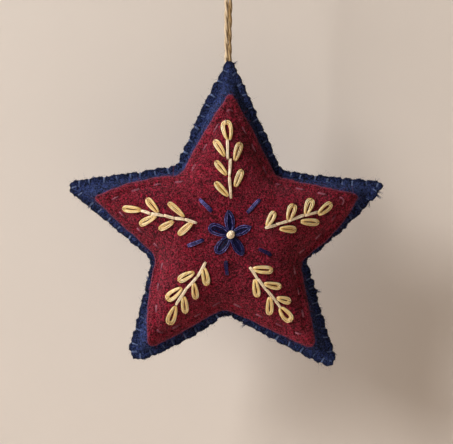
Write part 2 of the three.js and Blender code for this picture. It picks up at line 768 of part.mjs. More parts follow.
add(star, 'back_felt', backFelt, navy);
add(star, 'front_felt', frontFelt, navy);
add(star, 'wadding', pad, wadding);
add(star, 'applique', applique, maroon);
add(star, 'edge_stitching', edgeStitching(), navyThread);
add(star, 'applique_stitching', runningStitching(), maroonThread);
Object.entries(sprigPixels).forEach(([name, layout]) => add(star, name, sprig(layout), goldFloss));
petalPixels.forEach((layout, index) => add(star, `petal_${index + 1}`, petal(layout), blueFloss));
rayPixels.forEach((ends, index) => add(star, `ray_${index + 1}`, ray(ends), blueFloss));
add(star, 'flower_knot', flowerKnot(), goldFloss);
add(star, 'cord_tail', cordTail(), jute);
add(ornament, 'cord_leg_left', cordLeg(-1), jute);
add(ornament, 'cord_leg_right', cordLeg(1), jute);
add(ornament, 'hanger_knot', hangerKnot(), jute);
add(ornament, 'hanger_eye', hangerEye(), jute);

export default ornament;
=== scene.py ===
"""Looks for a stuffed felt star on a jute cord: felt, seams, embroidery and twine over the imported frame."""

import math

import bpy
import numpy as np
from bpy.props import FloatProperty, FloatVectorProperty, IntProperty, PointerProperty
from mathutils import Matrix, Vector, noise


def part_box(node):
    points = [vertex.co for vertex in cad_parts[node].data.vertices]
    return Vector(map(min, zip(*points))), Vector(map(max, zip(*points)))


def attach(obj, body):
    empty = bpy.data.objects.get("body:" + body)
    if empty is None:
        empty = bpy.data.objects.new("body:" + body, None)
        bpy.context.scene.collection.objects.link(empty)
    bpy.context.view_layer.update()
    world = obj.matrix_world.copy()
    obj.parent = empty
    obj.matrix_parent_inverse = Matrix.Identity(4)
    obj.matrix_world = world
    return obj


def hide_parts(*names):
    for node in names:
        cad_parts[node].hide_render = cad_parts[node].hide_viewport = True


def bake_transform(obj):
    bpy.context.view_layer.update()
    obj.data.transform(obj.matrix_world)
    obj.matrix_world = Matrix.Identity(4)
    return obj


bl_info = {
    "name": "Felt Star Ornament",
    "version": (1, 0, 0),
    "blender": (4, 5, 0),
    "location": "3D View > Sidebar > Felt Star",
    "description": "Felt, seams, embroidery and twine for a stuffed star ornament",
    "category": "Object",
}

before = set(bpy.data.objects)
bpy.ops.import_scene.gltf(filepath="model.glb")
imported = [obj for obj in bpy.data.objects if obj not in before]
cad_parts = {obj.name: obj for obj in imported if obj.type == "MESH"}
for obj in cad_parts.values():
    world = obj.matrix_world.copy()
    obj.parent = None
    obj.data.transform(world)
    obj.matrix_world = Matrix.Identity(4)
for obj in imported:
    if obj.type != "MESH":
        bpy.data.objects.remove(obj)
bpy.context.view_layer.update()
MM = 0.001
TURN = 2 * math.pi

# Star outlines, clockwise from the top point: reach from the centre in mm, angle in degrees and
# rounding in mm of each sharp corner that the cut edges aim at, then how far each side bows out,
# and how far each tip is drawn out and aside
NAVY_TIPS = [
    (56.1, 89.8, 1.55),
    (53.7, 16.6, 2.0),
    (58.4, -52.3, 2.7),
    (56.6, -126.8, 3.7),
    (56.5, -195.6, 2.4),
]
NAVY_NOTCHES = [
    (25.4, 48.4, 4.2),
    (26.8, -21.6, 2.6),
    (27.1, -91.5, 3.7),
    (26.4, -158.9, 4.0),
    (26.6, -230.4, 2.6),
]
NAVY_BOWS = [0.2, -0.4, 0.85, -0.15, 0.35, 0.9, -0.1, 0.15, -0.15, 0.55]
NAVY_PEAKS = [(0.2, 0.4), (0.3, 0), (0.4, 0), (0.8, 0), (0.1, 0)]
MAROON_TIPS = [
    (44.48, 89.6, 1.3),
    (43.74, 14.7, 1.3),
    (48.07, -54.2, 2.12),
    (47.24, -124.5, 2.32),
    (45.17, -193.5, 1.26),
]
MAROON_NOTCHES = [
    (22.66, 48.7, 4.6),
    (25.2, -25.2, 4.6),
    (25.24, -93.9, 4.6),
    (24.97, -160.4, 4.6),
    (23.52, -229.0, 4.6),
]
MAROON_BOWS = [0.4, 0, 1.5, 0, 0, 0.2, 0.9, 0, 1.3, 0.4]
MAROON_PEAKS = [(0.1, 0), (0.1, 0), (0.2, 0), (0.2, 0), (0.1, 0)]

# How the felts lie, in mm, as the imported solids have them: the flat seam round the edge, the power
# of the crown's curve, the gap on each side of the middle plane and between navy and maroon, the
# room for the cord's tail, and the height of the top point over the star's centre
SEAM_WIDTH = 2.0
PUFF_ROUNDNESS = 2.2
FELT_GAP = 0.15
LAYER_GAP = 0.3
TAIL_ROOM = 0.65
TAIL_ROOM_HALF_WIDTH = 2.6
TOP_POINT = 53.3

# Which of the two navy felts is meant
FRONT, BACK = 1, -1

# Lumps of the wadding under each navy felt: size and height in mm, and the seed of the noise
LUMPS = {
    FRONT: ((13.0, 0.3, 1), (5.5, 0.14, 2)),
    BACK: ((12.0, 0.34, 8), (5.0, 0.16, 9)),
}

# Nap of the felts: size and height in mm, and the seed
NAVY_NAP = {FRONT: (1.5, 0.07, 15), BACK: (1.5, 0.07, 16)}
MAROON_NAP = (1.8, 0.08, 11)
WADDING_NAP = {FRONT: (3.0, 0.08, 15), BACK: (3.0, 0.08, 13)}

# How deep a thread draws the felt down or its edge in, and how far that reaches, in mm
PUCKER = (0.2, 0.42)
EDGE_DRAW = (0.42, 0.5)
CHANNEL = (0.42, 1.1)
DIMPLE = (0.42, 0.75)

# The camera of the straight-on view, and how its pixels lie on the star's middle plane
VIEW_CENTRE_PIXELS = (226.5, 222.0)
VIEW_CENTRE = (-0.87, 2.48)
PIXEL = 0.3215
VIEW_DISTANCE = 600.0
SENSOR = 36.0
VIEW_WIDTH_PIXELS = 453

# Embroidery, in pixels of that view: both ends of each straight stitch of a stem, and tip, base
# and width of each leaf loop
SPRIGS = {
    "sprig_top": {
        "stem": [
            ((227.3, 138.5), (227.9, 160)),
            ((230.6, 158), (229.4, 178)),
            ((229.4, 176), (231.2, 199)),
        ],
        "leaves": [
            ((225.7, 120.3), (228.9, 140), 12),
            ((214.5, 139.9), (224.9, 156.2), 7.6),
            ((240.4, 142.3), (234.9, 160.6), 8),
            ((215.3, 161), (226.5, 174.9), 7.4),
            ((242, 169.4), (235.3, 186.5), 7.6),
            ((214.9, 182.1), (228.1, 196), 7.4),
        ],
    },
    "sprig_right": {
        "stem": [
            ((264.7, 227.9), (277, 225.2)),
            ((276, 224.6), (288.5, 221)),
            ((287.5, 221.6), (305.4, 214.5)),
            ((304.4, 215.6), (318.8, 211.8)),
        ],
        "leaves": [
            ((331.7, 202.9), (318.3, 214.5), 9),
            ((274.6, 211.3), (267, 226), 8),
            ((293.8, 203.8), (288.4, 220.7), 9.6),
            ((311.6, 198.4), (305.8, 214.5), 9.6),
            ((296.4, 229.6), (279.9, 228.8), 7.6),
            ((319.2, 222.5), (300.9, 221.6), 8),
        ],
    },
    "sprig_lower_right": {
        "stem": [
            ((249.5, 266.5), (258.6, 280.4)),
            ((257.4, 278.1), (267, 291.3)),
            ((265.7, 288.9), (276.4, 301.4)),
            ((275.2, 300.6), (281.2, 308.2)),
        ],
        "leaves": [
            ((291.4, 321.3), (280.2, 308), 11.4),
            ((273.1, 270.3), (252.8, 269), 9),
            ((281.4, 286.9), (264, 283.9), 8),
            ((290.9, 301.8), (276.8, 298), 8),
            ((257.4, 297.2), (254.9, 279.4), 8),
            ((269.4, 315), (269.8, 297.2), 8),
        ],
    },
    "sprig_lower_left": {
        "stem": [
            ((206.2, 261.6), (197.1, 277.3)),
            ((198, 276), (186.3, 288.9)),
            ((187.2, 287.2), (175.6, 305.5)),
        ],
        "leaves": [
            ((168.9, 324.6), (175.6, 306.3), 10),
            ((178, 280.6), (194.2, 272.3), 9),
            ((166.4, 299.7), (181.8, 288.1), 10.4),
            ((207.1, 285.6), (203.7, 267.4), 8.5),
            ((195.9, 299.3), (193.8, 282.7), 7.6),
            ((185.5, 313.4), (183.8, 296.4), 8),
        ],
    },
    "sprig_left": {
        "stem": [
            ((140.6, 210.4), (151.2, 213.9)),
            ((150.4, 213.3), (164.4, 216.1)),
            ((163.4, 214.9), (175.2, 218.8)),
            ((174.2, 218.1), (185.4, 219.6)),
            ((184, 219.2), (197.2, 223.1)),
        ],
        "leaves": [
            ((122.4, 208.4), (141.1, 210.1), 7.8),
            ((146.5, 198.4), (158.2, 212.4), 8),
            ((168.3, 202.4), (184.3, 216.8), 6.6),
            ((139.5, 224.8), (156.2, 215.8), 7.6),
            ((158.9, 229.5), (173.6, 221.5), 7),
            ((178.3, 234.9), (192.7, 222.1), 7),
        ],
    },
}
# Middle of the flower, then tip, width, pointedness and tone of each petal, the share of its tone
# that each nested strand has, from the outermost in, and near end, far end and tone of each ray.
# The tones are painted light and shade: high on the upper left and low on the lower right, and the
# strands are light and dark in turn, the light ones carrying the painted highlight.
FLOWER_PIXELS = (230.9, 234.8)
PETALS = [
    ((228.6, 210.2), 10.6, 0.55, 0.95),
    ((251.0, 226.8), 9.8, 0.5, 0.7),
    ((242.9, 255.3), 10.4, 0.3, 0.45),
    ((216.1, 253.3), 11.4, 0.1, 0.8),
    ((208.5, 226.6), 11.4, 0.0, 1.0),
]
PETAL_STRANDS = (1.0, 0.1, 0.8, 0.0)
RAYS = [
    ((212.3, 211.9), (198.9, 198.5), 1.5),
    ((246.8, 213.2), (260.8, 198.5), 0.9),
    ((258.4, 248.6), (272, 255.4), 0.25),
    ((225.7, 260.4), (227, 275.7), 0.6),
    ((204.4, 239.6), (187, 246.3), 1.3),
]


# Settings


def length_setting(name, description, default):
    return FloatProperty(name=name, description=description, default=default, min=0, unit="LENGTH",
                         subtype="DISTANCE")


def colour_setting(name, description, default):
    return FloatVectorProperty(name=name, description=description, default=default, size=3,
                               subtype="COLOR", min=0, max=1)


class FeltSettings(bpy.types.PropertyGroup):
    """Sizes and colours of the felt and its stuffing"""

    thickness: length_setting("Felt thickness", "Thickness of every layer of felt", 1.2 * MM)
    puff: length_setting("Puff", "How far the wadding lifts the middle of each navy felt", 7.8 * MM)
    navy: colour_setting("Navy", "Colour of the two outer felts", (0.0105, 0.0175, 0.07))
    maroon: colour_setting("Maroon", "Colour of the star on the face", (0.138, 0.0056, 0.0135))
    fibres: IntProperty(
        name="Loose fibres", description="Number of loose wool fibres that stand off the felt",
        default=9000, min=0)
    seed: IntProperty(name="Seed", description="Start of every random draw", default=7, min=0)


class ThreadSettings(bpy.types.PropertyGroup):
    """Sizes and colours of the seams and the floss"""

    edge_pitch: length_setting(
        "Edge stitch spacing", "Distance between two stitches along the navy edge", 4.1 * MM)
    edge_depth: length_setting(
        "Edge stitch length", "How far a stitch reaches in from the navy edge", 2.1 * MM)
    running_pitch: length_setting(
        "Running stitch spacing", "A stitch and the gap after it, round the maroon star", 7.2 * MM)
    running_inset: length_setting(
        "Running stitch inset", "Distance of the running stitch from the maroon edge", 2.7 * MM)
    strand: length_setting("Floss strand", "Thickness of one strand of embroidery floss", 0.38 * MM)
    gold: colour_setting("Gold floss", "Colour of the leaves and stems", (1.0, 0.69, 0.21))
    blue: colour_setting("Blue floss", "Colour of the petals and rays", (0.016, 0.018, 0.14))
    edge_blue: colour_setting(
        "Edge thread", "Colour of the thread along the navy edge", (0.115, 0.17, 0.37))
    rose: colour_setting(
        "Running thread", "Colour of the thread round the maroon star", (0.3, 0.07, 0.12))


class CordSettings(bpy.types.PropertyGroup):
    """Sizes and colour of the jute cord"""

    diameter: length_setting("Cord", "Thickness of the jute cord", 1.3 * MM)
    lay: length_setting(
        "Lay", "Length in which the two plies turn once round each other", 9.0 * MM)
    jute: colour_setting("Jute", "Colour of the cord", (0.385, 0.24, 0.095))


class StageSettings(bpy.types.PropertyGroup):
    """Backdrop and light"""

    wall: colour_setting("Wall", "Colour of the wall and the floor", (0.7, 0.635, 0.58))
    wall_gap: length_setting(
        "Wall gap", "Distance from the star's middle to the wall behind it", 31.5 * MM)
    key: FloatProperty(
        name="Key light", description="Power of the large soft light at the upper left",
        default=9.7, min=0, unit="POWER")
    fill: FloatProperty(
        name="World light", description="Strength of the even light from all round",
        default=0.1, min=0)


# Shader maths


class Value:
    """A shader socket that ordinary arithmetic can be written on"""

    def __init__(self, nodes, socket):
        self.nodes = nodes
        self.socket = socket

    def maths(self, operation, *others):
        sockets = {f"in{index}": value for index, value in enumerate((self, *others))}
        return self.nodes.make("ShaderNodeMath", {"operation": operation}, **sockets).value

    def __add__(self, other):
        return self.maths("ADD", other)

    __radd__ = __add__

    def __mul__(self, other):
        return self.maths("MULTIPLY", other)

    __rmul__ = __mul__

    def __sub__(self, other):
        return self.maths("SUBTRACT", other)

    def __rsub__(self, other):
        return self * -1 + other

    def __abs__(self):
        return self.maths("ABSOLUTE")

    def sine(self):
        return self.maths("SINE")

    def smooth(self, low, high):
        """0 below low and 1 above high, with a soft step between"""
        node = self.nodes.make("ShaderNodeMapRange", {"interpolation_type": "SMOOTHSTEP"},
                               Value=self, From_Min=low, From_Max=high)
        return node.out("Result")


class Made:
    """A node that was just made. value is its first output that is in use."""

    def __init__(self, nodes, node):
        self.nodes = nodes
        self.node = node

    def out(self, name):
        return Value(self.nodes, self.node.outputs[name])

    @property
    def value(self):
        return Value(self.nodes, next(socket for socket in self.node.outputs if socket.enabled))


class Finish:
    """A new material whose nodes are made one call at a time"""

    def __init__(self, name):
        self.material = bpy.data.materials.new(name)
        self.material.use_nodes = True
        self.tree = self.material.node_tree
        self.tree.nodes.clear()

    def make(self, kind, settings=None, **sockets):
        """A node of a kind. Its settings are set first, then its sockets get their values or links,
        each named by its own name with underscores, or by in and its number."""
        node = self.tree.nodes.new(kind)
        for key, value in (settings or {}).items():
            setattr(node, key, value)
        for key, value in sockets.items():
            self.feed(node, key, value)
        return Made(self, node)

    def feed(self, node, key, value):
        if key.startswith("in") and key[2:].isdigit():
            socket = node.inputs[int(key[2:])]
        else:
            wanted = key.replace("_", " ")
            socket = next(socket for socket in node.inputs if socket.name == wanted and socket.enabled)
        if isinstance(value, Value):
            self.tree.links.new(value.socket, socket)
        else:
            socket.default_value = value

    def mix(self, factor, low, high):
        """One colour over another"""
        sockets = {"in0": factor, "in6": low, "in7": high}
        return self.make("ShaderNodeMix", {"data_type": "RGBA"}, **sockets).value

    def place(self):
        return self.make("ShaderNodeTexCoord").out("Object")

    def strand(self):
        """Length along a strand, and the share of the way round it"""
        return self.make("ShaderNodeUVMap", {"uv_map": "strand"}).out("UV")

    def attribute(self, name):
        return self.make("ShaderNodeAttribute", {"attribute_name": name}).out("Fac")

    def stretched(self, vector, scale):
        return self.make("ShaderNodeMapping", Vector=vector, Scale=scale).out("Vector")

    def noise(self, vector, scale, detail=2.0, roughness=0.55, distortion=0.0):
        texture = self.make("ShaderNodeTexNoise", Vector=vector, Scale=scale, Detail=detail,
                            Roughness=roughness, Distortion=distortion)
        return texture.out("Fac")

    def surface(self, base, roughness, height=None, bump=0.3, depth=0.0002, **constants):
        """The surface shader; constants are set on its own sockets"""
        sockets = {"Base_Color": base, "Roughness": roughness, **constants}
        if height is not None:
            bumped = self.make("ShaderNodeBump", Height=height, Strength=bump, Distance=depth)
            sockets["Normal"] = bumped.out("Normal")
        shader = self.make("ShaderNodeBsdfPrincipled", **sockets)
        self.make("ShaderNodeOutputMaterial", Surface=shader.out("BSDF"))
        return self.material


def shade(colour, amount=1.0):
    """A colour made darker or lighter, as the four numbers that a socket takes"""
    return tuple(min(1.0, part * amount) for part in colour) + (1.0,)


def tinted(colour, tint, amount):
    return tuple(a * (1 - amount) + b * amount for a, b in zip(colour, tint))


def hair_lines(finish, place, scale, width, distortion):
    """Thin curved lines where a noise crosses its middle, as matted fibres lie"""
    wander = finish.noise(place, scale, 3.0, 0.6, distortion)
    return 1 - abs(wander - 0.5).smooth(0.0, width)


def crown_of(parts):
    """1 along the side of a strand that faces out, and -1 along the side that lies on the felt"""
    return ((parts.out("Y") + 0.25) * TURN).sine()


def felt_finish(name, colour, dark, light, fibre, rim):
    """Matted wool: blotches, crossing fibres at three scales and a soft nap. rim is a colour painted
    over the cut edge, where the vertices say so: painted shade on the navy, and on the maroon a paler
    edge that is partly its fuzz and partly a painted highlight."""
    finish = Finish(name)
    place = finish.place()
    blotch = finish.noise(place, 170.0, 3.0, 0.62)
    patch = finish.noise(place, 480.0, 3.0, 0.7)
    speck = finish.noise(place, 1450.0, 3.0, 0.75, 0.4)
    grain = finish.noise(place, 2000.0, 2.0, 0.75)
    across = finish.stretched(place, (1.0, 1.0, 0.4))
    along = finish.stretched(place, (0.4, 1.0, 1.0))
    lines = hair_lines(finish, across, 480.0, 0.035, 1.6) + hair_lines(finish, along, 560.0, 0.03, 1.4)
    fine = hair_lines(finish, place, 1100.0, 0.06, 0.8)
    base = finish.mix(blotch.smooth(0.34, 0.66), shade(dark), shade(colour))
    base = finish.mix(patch.smooth(0.42, 0.66) * 0.6, base, shade(light, 0.9))
    base = finish.mix(speck.smooth(0.49, 0.57) * 0.95, base, shade(light, 1.6))
    base = finish.mix((1 - grain.smooth(0.42, 0.52)) * 0.95, base, shade(dark, 0.2))
    base = finish.mix(lines * grain.smooth(0.35, 0.6) * 0.7, base, shade(fibre, 1.1))
    base = finish.mix(fine * grain * 0.3, base, shade(fibre, 0.8))
    # The rim colour over the cut edge: painted shade on the navy, partly a painted highlight on the maroon
    edge = finish.attribute("rim") * (grain.smooth(0.3, 0.6) * 0.45 + 0.35)
    base = finish.mix(edge, base, shade(rim))
    height = blotch * 0.4 + patch * 0.6 + speck * 0.6 + grain * 0.3 + lines * 0.3 + fine * 0.15
    return finish.surface(base, 0.95, height, 0.8, 0.5 * MM, Sheen_Weight=0.04, Sheen_Roughness=0.6,
                          Specular_IOR_Level=0.06)


def fibre_finish(name, colour, light):
    """A single wool fibre, lighter here and there"""
    finish = Finish(name)
    tone = finish.noise(finish.place(), 700.0, 2.0)
    base = finish.mix(tone.smooth(0.35, 0.65), shade(colour), shade(light))
    return finish.surface(base, 0.9, Specular_IOR_Level=0.1)


def floss_finish(name, colour, dark, light, gloss, lay, painted_flank_shade=0.8, painted_twist_shade=0.5):
    """Stranded cotton: a twist along each strand, a tone of its own for each strand, and painted light
    and shade: the hollows of the twist and the flanks and underside of each strand are darkened as
    painted shade, and paler streaks along it are partly a painted highlight. lay is the number of
    turns to a metre."""
    finish = Finish(name)
    strand = finish.strand()
    tone = finish.attribute("tone")
    parts = finish.make("ShaderNodeSeparateXYZ", Vector=strand)
    twist = ((parts.out("X") * lay + parts.out("Y") * 2) * TURN).sine() * 0.5 + 0.5
    crown = crown_of(parts)
    flecks = finish.noise(finish.stretched(strand, (700.0, 5.0, 1.0)), 1.0, 3.0, 0.6)
    patch = finish.noise(finish.place(), 260.0, 2.0)
    base = finish.mix(tone * 0.75 + patch * 0.25, shade(dark), shade(colour))
    # Paler streaks on strands of high tone: partly a paler fibre, partly a painted highlight
    base = finish.mix(flecks.smooth(0.45, 0.6) * tone.smooth(0.1, 0.8), base, shade(light))
    # Painted shade in the hollows of the twist
    base = finish.mix((1 - twist.smooth(0.0, 0.4)) * painted_twist_shade, base, shade(dark, 0.7))
    # Painted shade on the flanks and underside of each strand, where it meets its neighbours and the felt
    base = finish.mix((1 - crown.smooth(-0.1, 0.6)) * painted_flank_shade, base, shade(dark, 0.2))
    height = twist * 0.6 + flecks * 0.4
    return finish.surface(base, 0.36, height, 0.6, 0.1 * MM, IOR=1.8, Specular_IOR_Level=gloss)


def jute_finish(name, colour):
    """Jute: pale and brown fibres along the plies"""
    brown = tinted(colour, (0.12, 0.05, 0.015), 0.75)
    straw = tinted(colour, (1.0, 0.8, 0.5), 0.5)
    bleached_and_lit = tinted(colour, (0.95, 0.8, 0.6), 0.75)
    shadow = tinted(colour, (0.1, 0.045, 0.015), 0.7)
    finish = Finish(name)
    strand = finish.strand()
    crown = crown_of(finish.make("ShaderNodeSeparateXYZ", Vector=strand))
    tone = finish.attribute("tone")
    streaks = finish.noise(finish.stretched(strand, (110.0, 9.0, 1.0)), 1.0, 3.0, 0.6)
    fine = finish.noise(finish.stretched(strand, (420.0, 26.0, 1.0)), 1.0, 3.0, 0.6)
    base = finish.mix(streaks.smooth(0.36, 0.62), shade(brown), shade(colour))
    base = finish.mix(fine.smooth(0.48, 0.7) * 0.85, base, shade(straw))
    # Paler fibres where the tone is high: partly pale fibres, partly painted light on the left leg of the
    # cord
    base = finish.mix(tone * (streaks.smooth(0.3, 0.5) * 0.6 + 0.3), base, shade(bleached_and_lit))
    base = finish.mix((1 - crown.smooth(-0.3, 0.5)) * 0.45, base, shade(shadow))
    height = streaks * 0.6 + fine * 0.4
    return finish.surface(base, 0.85, height, 0.8, 0.3 * MM, Specular_IOR_Level=0.15)


def wadding_finish(name):
    """Combed white fibre"""
    finish = Finish(name)
    place = finish.place()
    puffs = finish.noise(place, 120.0, 4.0, 0.6)
    lines = hair_lines(finish, place, 500.0, 0.05, 2.0)
    base = finish.mix(puffs.smooth(0.3, 0.7), shade((0.7, 0.68, 0.63)), shade((0.85, 0.84, 0.8)))
    base = finish.mix(lines * 0.4, base, shade((0.95, 0.94, 0.9)))
    return finish.surface(base, 0.95, puffs + lines * 0.4, 0.6, 0.5 * MM)


# Star shape


def corner_places(tips, notches):
    """Sharp corners clockwise from the top point, with the rounding of each"""
    corners = []
    for tip, notch in zip(tips, notches):
        for reach, degrees, rounding in (tip, notch):
            angle = math.radians(degrees)
            corners.append((np.array([reach * math.cos(angle), reach * math.sin(angle)]), rounding))
    return corners


def rounded_outline(corners, bows, tip_steps=12, notch_steps=8, side_steps=64):
    """Points along the rounded outline, the same number for every star"""
    count = len(corners)
    arcs = []
    for index, (corner, rounding) in enumerate(corners):
        inward = corners[index - 1][0] - corner
        outward = corners[(index + 1) % count][0] - corner
        inward /= np.linalg.norm(inward)
        outward /= np.linalg.norm(outward)
        half = math.acos(inward @ outward) / 2
        bisector = (inward + outward) / np.linalg.norm(inward + outward)
        centre = corner + bisector * rounding / math.sin(half)
        spoke = corner + inward * rounding / math.tan(half) - centre
        sweep = (math.pi - 2 * half) * np.sign(outward[0] * inward[1] - outward[1] * inward[0])
        angles = np.linspace(0, sweep, (notch_steps if index % 2 else tip_steps) + 1)
        arcs.append(np.stack([
            centre[0] + spoke[0] * np.cos(angles) - spoke[1] * np.sin(angles),
            centre[1] + spoke[0] * np.sin(angles) + spoke[1] * np.cos(angles)], 1))
    outline = []
    shares = np.linspace(0, 1, side_steps + 1)[1:-1, None]
    for index, arc in enumerate(arcs):
        side = arcs[(index + 1) % count][0] - arc[-1]
        outward = np.array([-side[1], side[0]]) / np.linalg.norm(side)
        outline.extend([arc, arc[-1] + side * shares + outward * bows[index] * 4 * shares * (1 - shares)])
    return np.concatenate(outline)


def drawn_to_points(points, tips, peaks, length=12, width=0.9):
    """The outline with each tip drawn out a little, as scissors leave it. length and width say how
    much of the tip follows."""
    points = points.copy()
    for (reach, degrees, _), (peak, shift) in zip(tips, peaks):
        angle = math.radians(degrees)
        ahead = np.array([math.cos(angle), math.sin(angle)])
        aside = np.abs(points[:, 0] * ahead[1] - points[:, 1] * ahead[0] - shift)
        near = points @ ahead > reach - length
        points += ahead * (peak * np.exp(-aside / width) * near)[:, None]
    return points


def gap_to_points(points, outline, batch=4000):
    """Distance from each point to the nearest point of an outline"""
    found = np.empty(len(points))
    for start in range(0, len(points), batch):
        part = points[start:start + batch, None, :] - outline[None]
        found[start:start + batch] = np.sqrt((part ** 2).sum(2).min(1))
    return found


class Edge:
    """A closed outline: its points, the length along it at each, and the way out at each"""

    def __init__(self, points):
        self.points = points
        steps = np.linalg.norm(np.roll(points, -1, 0) - points, axis=1)
        self.at = np.concatenate([[0], np.cumsum(steps)])
        self.length = self.at[-1]
        along = np.roll(points, -1, 0) - np.roll(points, 1, 0)
        along /= np.linalg.norm(along, axis=1)[:, None]
        self.out = np.stack([-along[:, 1], along[:, 0]], 1)

    def place(self, length):
        """The places at lengths along the outline, and the way out there"""
        length = np.asarray(length) % self.length
        closed, outs = np.vstack([self.points, self.points[:1]]), np.vstack([self.out, self.out[:1]])
        at = np.stack([np.interp(length, self.at, closed[:, axis]) for axis in (0, 1)], -1)
        out = np.stack([np.interp(length, self.at, outs[:, axis]) for axis in (0, 1)], -1)
        return at, out / np.linalg.norm(out, axis=-1, keepdims=True)

    def distance(self, points):
        """Distance of each point from the outline"""
        return gap_to_points(points, self.points)

    def area(self):
        x, y = self.points.T
        return abs((x * np.roll(y, -1) - y * np.roll(x, -1)).sum()) / 2


# How far apart in the noise two seeds lie
SEED_STEP = 7.31


def wool(points, size, height, seed):
    """Smooth lumps of about size mm, up to about height mm high or deep"""
    spots = [Vector((x / size, y / size, seed * SEED_STEP)) for x, y in points]
    return np.array([noise.noise(spot) for spot in spots]) * 2 * height


def drawn_down(gap, pull):
    """How far a thread draws the felt down at a distance from it; pull is its depth and its reach"""
    depth, reach = pull
    return depth * np.exp(-(gap / reach) ** 2)


def gap_to_lines(points, starts, ends):
    """Distance from each point to the nearest of some short straight lines"""
    found = np.full(len(points), 1e9)
    for start, end in zip(starts, ends):
        side = end - start
        share = np.clip(((points - start) @ side) / (side @ side), 0, 1)
        found = np.minimum(found, np.linalg.norm(points - start - share[:, None] * side, axis=1))
    return found


# Sewing by hand, in mm or as shares: how unevenly the edge stitches are spaced, how far they lean,
# how much their lengths differ, the room they leave before the maroon edge, and how near the cord
# they stop
SPACING_WANDER_SHARE = 0.16
LEAN_SHARE = 0.16
LENGTH_SHARES = (0.85, 1.15)
MAROON_ROOM = 0.7
CORD_HALF_WIDTH = 2.0
CORD_DEPTH = 3.0

# The running stitch: how much the stitches wander, and the share of the spacing that shows
DASH_WANDER_SHARE = 0.1
DASH_SHARES = (0.32, 0.48)

# How the cut edges stray, as size and height in mm and the seed, and how far the navy edge swells
# between two stitches
NAVY_CUT = ((1.3, 0.22, 3), (3.6, 0.2, 4))
NAVY_SNIPS = (0.6, 0.2, 12)
NAVY_SWELL = 0.03
MAROON_CUT = ((0.9, 0.08, 5), (5.0, 0.16, 6))


